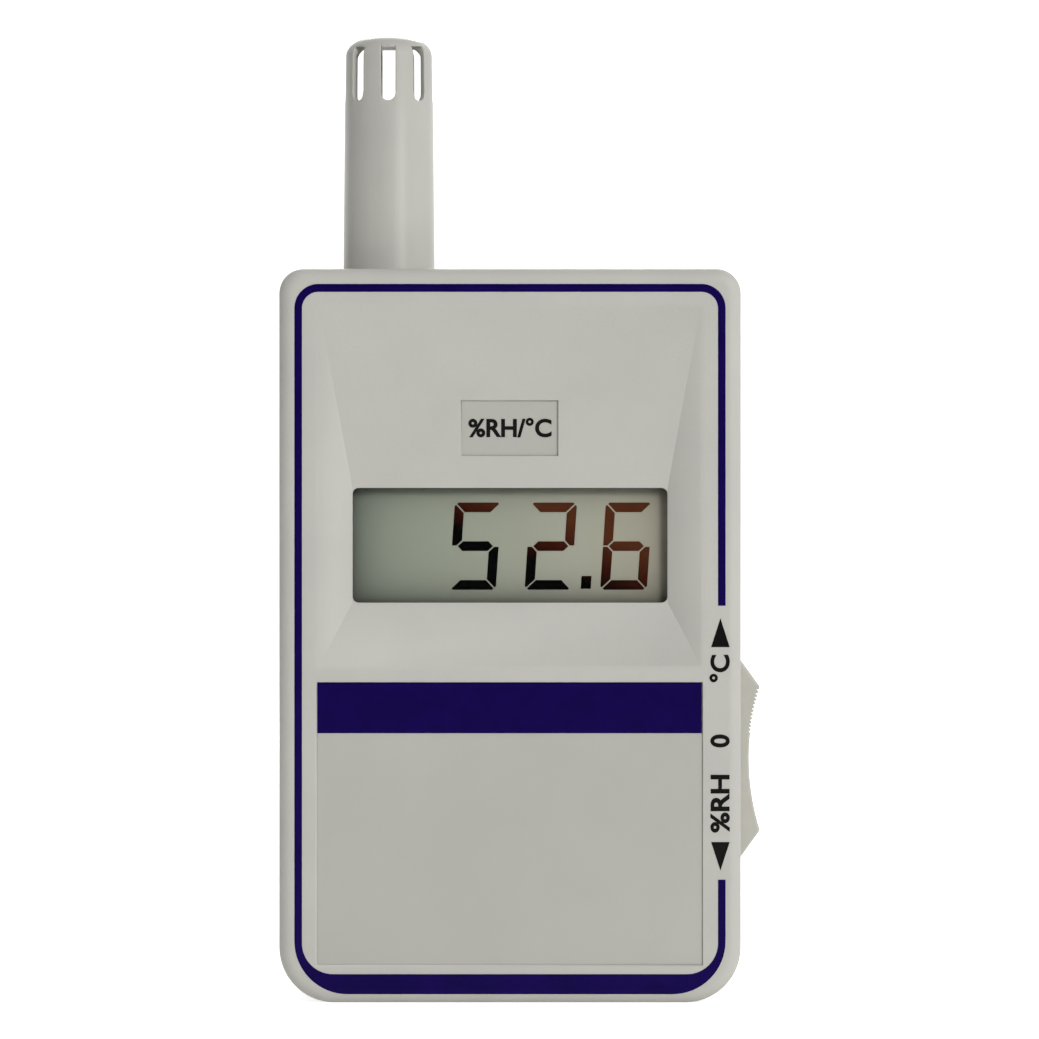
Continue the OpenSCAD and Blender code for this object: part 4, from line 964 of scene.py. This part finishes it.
# One wall: its points and cells, and the size of its grid with the rows below and above the slots.
# A column is a sideways place s in a slot, at the angle asin(s / radius) from the slot's middle, or
# a share of the way to the next slot. The row under the slots follows their round ends: z = low +
# half - sqrt(half^2 - s^2).
def wallSkin(spec, straight, dome, lower):
    half, pitch = spec["slotHalf"], 2 * np.pi / spec["slots"]
    inSlot = -half * np.cos(np.linspace(0, np.pi, spec["slotSteps"] + 1))
    shares = np.arange(1, spec["between"]) / spec["between"]
    side = np.tile(np.concatenate([inSlot, np.full(len(shares), half)]), spec["slots"])
    share = np.tile(np.concatenate([np.zeros(len(inSlot)), shares]), spec["slots"])
    columns = len(side)
    perSlot = columns // spec["slots"]
    slot = np.repeat(np.arange(spec["slots"]), perSlot)
    dipped = spec["slotLow"] + half - np.sqrt(np.maximum(half**2 - side**2, 0))
    shoulder = straight[1][0]
    start = np.arcsin((spec["slotHigh"] - shoulder) / dome[1])
    rise = shoulder + dome[1] * np.sin(np.linspace(start, np.pi / 2, spec["domeSteps"] + 1)[1:])
    middle = [(spec["slotLow"] + half + shoulder) / 2]
    middle += list(shoulder + dome[1] * np.sin(np.linspace(0, start, spec["slotDomeSteps"] + 1)[:-1]))
    flatRows = lambda values: [np.full(columns, v) for v in values]
    above = flatRows(middle + [spec["slotHigh"]] + list(rise))
    z = np.array(flatRows([z for z, r in lower]) + [dipped] + above)
    r = wallRadius(z, straight, dome)
    for row, (_, given) in enumerate(lower):
        if given:
            r[row] = given
    # above the slots the columns run straight up to the tip
    bottom = len(lower)
    upper = bottom + len(middle) + 1
    held = np.where(np.arange(len(z))[:, None] > upper, r[upper], r)
    beta = np.arcsin(half / held)
    angle = slot * pitch + np.arcsin(side / held) + share * (pitch - 2 * beta) - np.pi / 2
    points = np.stack([spec["x"] + r * np.cos(angle), r * np.sin(angle), z], -1).reshape(-1, 3)
    cells = np.array(gridFaces(len(z), columns, closeColumns=True)).reshape(len(z) - 1, columns, 4)
    isOpen = np.zeros(cells.shape[:2], bool)
    isOpen[bottom:upper] = np.arange(columns) % perSlot < spec["slotSteps"]
    grid = {"columns": columns, "rows": len(z), "bottom": bottom, "upper": upper}
    return {"points": points, "cells": cells[~isOpen], **grid}


# The grid points round one slot: along its lower end, up one side, back along the top, down.
def slotLoop(wall, first, steps):
    columns, bottom, upper = wall["columns"], wall["bottom"], wall["upper"]
    loop = [(bottom, first + i) for i in range(steps + 1)]
    loop += [(row, first + steps) for row in range(bottom + 1, upper + 1)]
    loop += [(upper, first + i) for i in range(steps - 1, -1, -1)]
    loop += [(row, first) for row in range(upper - 1, bottom, -1)]
    return np.array([row * columns + column for row, column in loop])


# Both walls, joined round each slot and round the lower end, and closed at their tips.
def makeTube(spec):
    # a radius of 0 stands for that of the taper
    plain = [(spec["halfway"], 0), (spec["slotLow"] - spec["under"], 0)]
    innerLower = [(spec["innerStraight"][0][0], 0)] + plain
    outer = wallSkin(spec, spec["straight"], spec["dome"], list(spec["collar"]) + plain)
    inner = wallSkin(spec, spec["innerStraight"], spec["innerDome"], innerLower)
    shift = len(outer["points"])
    points = np.concatenate([outer["points"], inner["points"]])
    faces = outer["cells"].tolist() + (inner["cells"][:, ::-1] + shift).tolist()
    columns, rims = outer["columns"], []
    for k in range(spec["slots"]):
        first = k * columns // spec["slots"]
        a = slotLoop(outer, first, spec["slotSteps"])
        b = slotLoop(inner, first, spec["slotSteps"]) + shift
        rims.append(a)
        faces += np.stack([a, b, np.roll(b, -1), np.roll(a, -1)], -1)[:, ::-1].tolist()
    ring = np.arange(columns)
    innerRing = ring + shift
    faces += np.stack([ring, innerRing, np.roll(innerRing, -1), np.roll(ring, -1)], -1).tolist()
    faces.append((ring + (outer["rows"] - 1) * columns).tolist())
    faces.append((innerRing + (inner["rows"] - 1) * columns)[::-1].tolist())
    used = np.unique(np.concatenate([np.ravel(f) for f in faces]))
    place = np.full(len(points), -1)
    place[used] = np.arange(len(used))
    piece = putMesh("sensor_tube_turned", points[used], [place[np.array(f)].tolist() for f in faces])
    # the slots' outer rims get the bevel's weight, every other sharp turn stays a sharp edge
    onRim = np.zeros(len(points), bool)
    onRim[np.concatenate(rims)] = True
    mesh = piece.data
    ends = np.zeros(len(mesh.edges) * 2, np.int32)
    mesh.edges.foreach_get("vertices", ends)
    rim = onRim[used][ends.reshape(-1, 2)].all(1)
    weights = mesh.attributes.new("bevel_weight_edge", "FLOAT", "EDGE")
    weights.data.foreach_set("value", rim.astype(np.float32))
    mesh.set_sharp_from_angle(angle=math.radians(spec["sharp"]))
    sharp = np.zeros(len(rim), bool)
    mesh.attributes["sharp_edge"].data.foreach_get("value", sharp)
    mesh.attributes["sharp_edge"].data.foreach_set("value", sharp & ~rim)
    addBevel(piece, spec["edge"])
    return shadeSmooth(piece)


tubePiece = makeTube(tube)
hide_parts("sensor_tube")
dress(tubePiece, tubeAbs, "housing")
print("tube ready", len(tubePiece.data.polygons))

# The floor in m, swept up into a backdrop. The camera sees it at one brightness. For the object it
# has a faint glow, as of a floor lit from all round, which lifts the object's lower edge.
studio = {
    "side": 3.0, "front": -0.4, "back": 1.6, "bend": 0.5, "high": 3.2, "steps": 24,
    "colour": "#f0f0ee", "roughness": 0.9, "seen": 0.74, "glow": 0.08,
}


def makeStage(spec):
    material, tree, shader, _ = newMaterial("pale_floor")
    path = addNode(tree, "LightPath").outputs
    seen = compute(tree, "MAXIMUM", path["Is Camera Ray"], path["Is Glossy Ray"])
    shown = compute(tree, "MULTIPLY", seen, spec["seen"])
    inputs = {
        "Base Color": linear(spec["colour"]),
        "Roughness": spec["roughness"],
        "Emission Color": (1, 1, 1, 1),
        "Emission Strength": compute(tree, "MAXIMUM", shown, spec["glow"]),
    }
    setInputs(tree, shader, inputs)
    # a straight run, a quarter circle of radius bend, and a straight rise
    a = np.linspace(0, np.pi / 2, spec["steps"] + 1)
    bend, back = spec["bend"], spec["back"]
    curve = np.column_stack([back + bend * np.sin(a), bend - bend * np.cos(a)])
    line = np.concatenate([[(spec["front"], 0)], curve, [(back + bend, spec["high"])]])
    n = len(line)
    points = [np.column_stack([np.full(n, sign * spec["side"]), line]) for sign in (-1, 1)]
    floor = putMesh("floor", np.concatenate(points) / mm, gridFaces(2, n))
    floor.data.flip_normals()
    floor.data.materials.append(material)
    floor.data.polygons.foreach_set("use_smooth", np.ones(len(floor.data.polygons), bool))


# Distance in m and degrees to the right of and above the view line, seen from the display. A lamp
# with a height is a strip, the others are discs.
lamps = {
    "key": {"away": 1.8, "right": 28, "up": 22, "size": 0.5, "power": 15.8},
    # strips that draw the streaks on the tube
    "right_strip": {"away": 1.8, "right": 37, "up": 3, "size": 0.24, "tall": 0.9, "power": 2.6},
    "left_strip": {"away": 1.8, "right": -46, "up": 3, "size": 0.14, "tall": 0.9, "power": 0.7},
    # straight behind the object, so that it only reaches the back
    "back": {"away": 1.7, "right": 180, "up": 26, "size": 0.5, "power": 9.0},
}
lampColour = "#fffefc"
lampAim = (0, 0, 0.06)


def makeLamps(specs):
    for name, spec in specs.items():
        right, up = math.radians(spec["right"]), math.radians(spec["up"])
        way = Vector((math.cos(up) * math.sin(right), -math.cos(up) * math.cos(right), math.sin(up)))
        data = bpy.data.lights.new(name, "AREA")
        data.shape = "RECTANGLE" if "tall" in spec else "DISK"
        data.size = spec["size"]
        data.size_y = spec.get("tall", spec["size"])
        data.energy = spec["power"]
        data.color = linear(lampColour)[:3]
        lamp = addObject(name, data)
        lamp.location = Vector(lampAim) + way * spec["away"]
        lamp.rotation_euler = way.to_track_quat("Z", "Y").to_euler()


# Brightness in front and all round, and its rise to the right and upwards. edges are the values of
# the direction's y between which it changes from the one to the other.
sky = {"front": 0.06, "around": 0.6, "edges": (-0.95, -0.2), "right": 0.14, "up": 0.02}


def makeWorld(spec):
    # A white studio, dim where the camera stands, a little brighter to the right and above
    world = bpy.data.worlds.new("studio")
    world.use_nodes = True
    tree = world.node_tree
    x, y, z = split(tree, addNode(tree, "TexCoord").outputs["Generated"])
    level = spread(tree, y, spec["edges"], (spec["front"], spec["around"]), "SMOOTHSTEP")
    sideways = compute(tree, "MULTIPLY_ADD", x, spec["right"], level)
    upwards = compute(tree, "MULTIPLY_ADD", z, spec["up"], sideways, clamp=True)
    path = addNode(tree, "LightPath").outputs
    seen = compute(tree, "MAXIMUM", path["Is Camera Ray"], path["Is Transmission Ray"])
    inputs = {"Color": (1, 1, 1, 1), "Strength": compute(tree, "MAXIMUM", seen, upwards)}
    setInputs(tree, tree.nodes["Background"], inputs)
    scene.world = world


makeStage(studio)
makeLamps(lamps)
makeWorld(sky)
scene.view_settings.view_transform = "Standard"
print("stage and light ready")
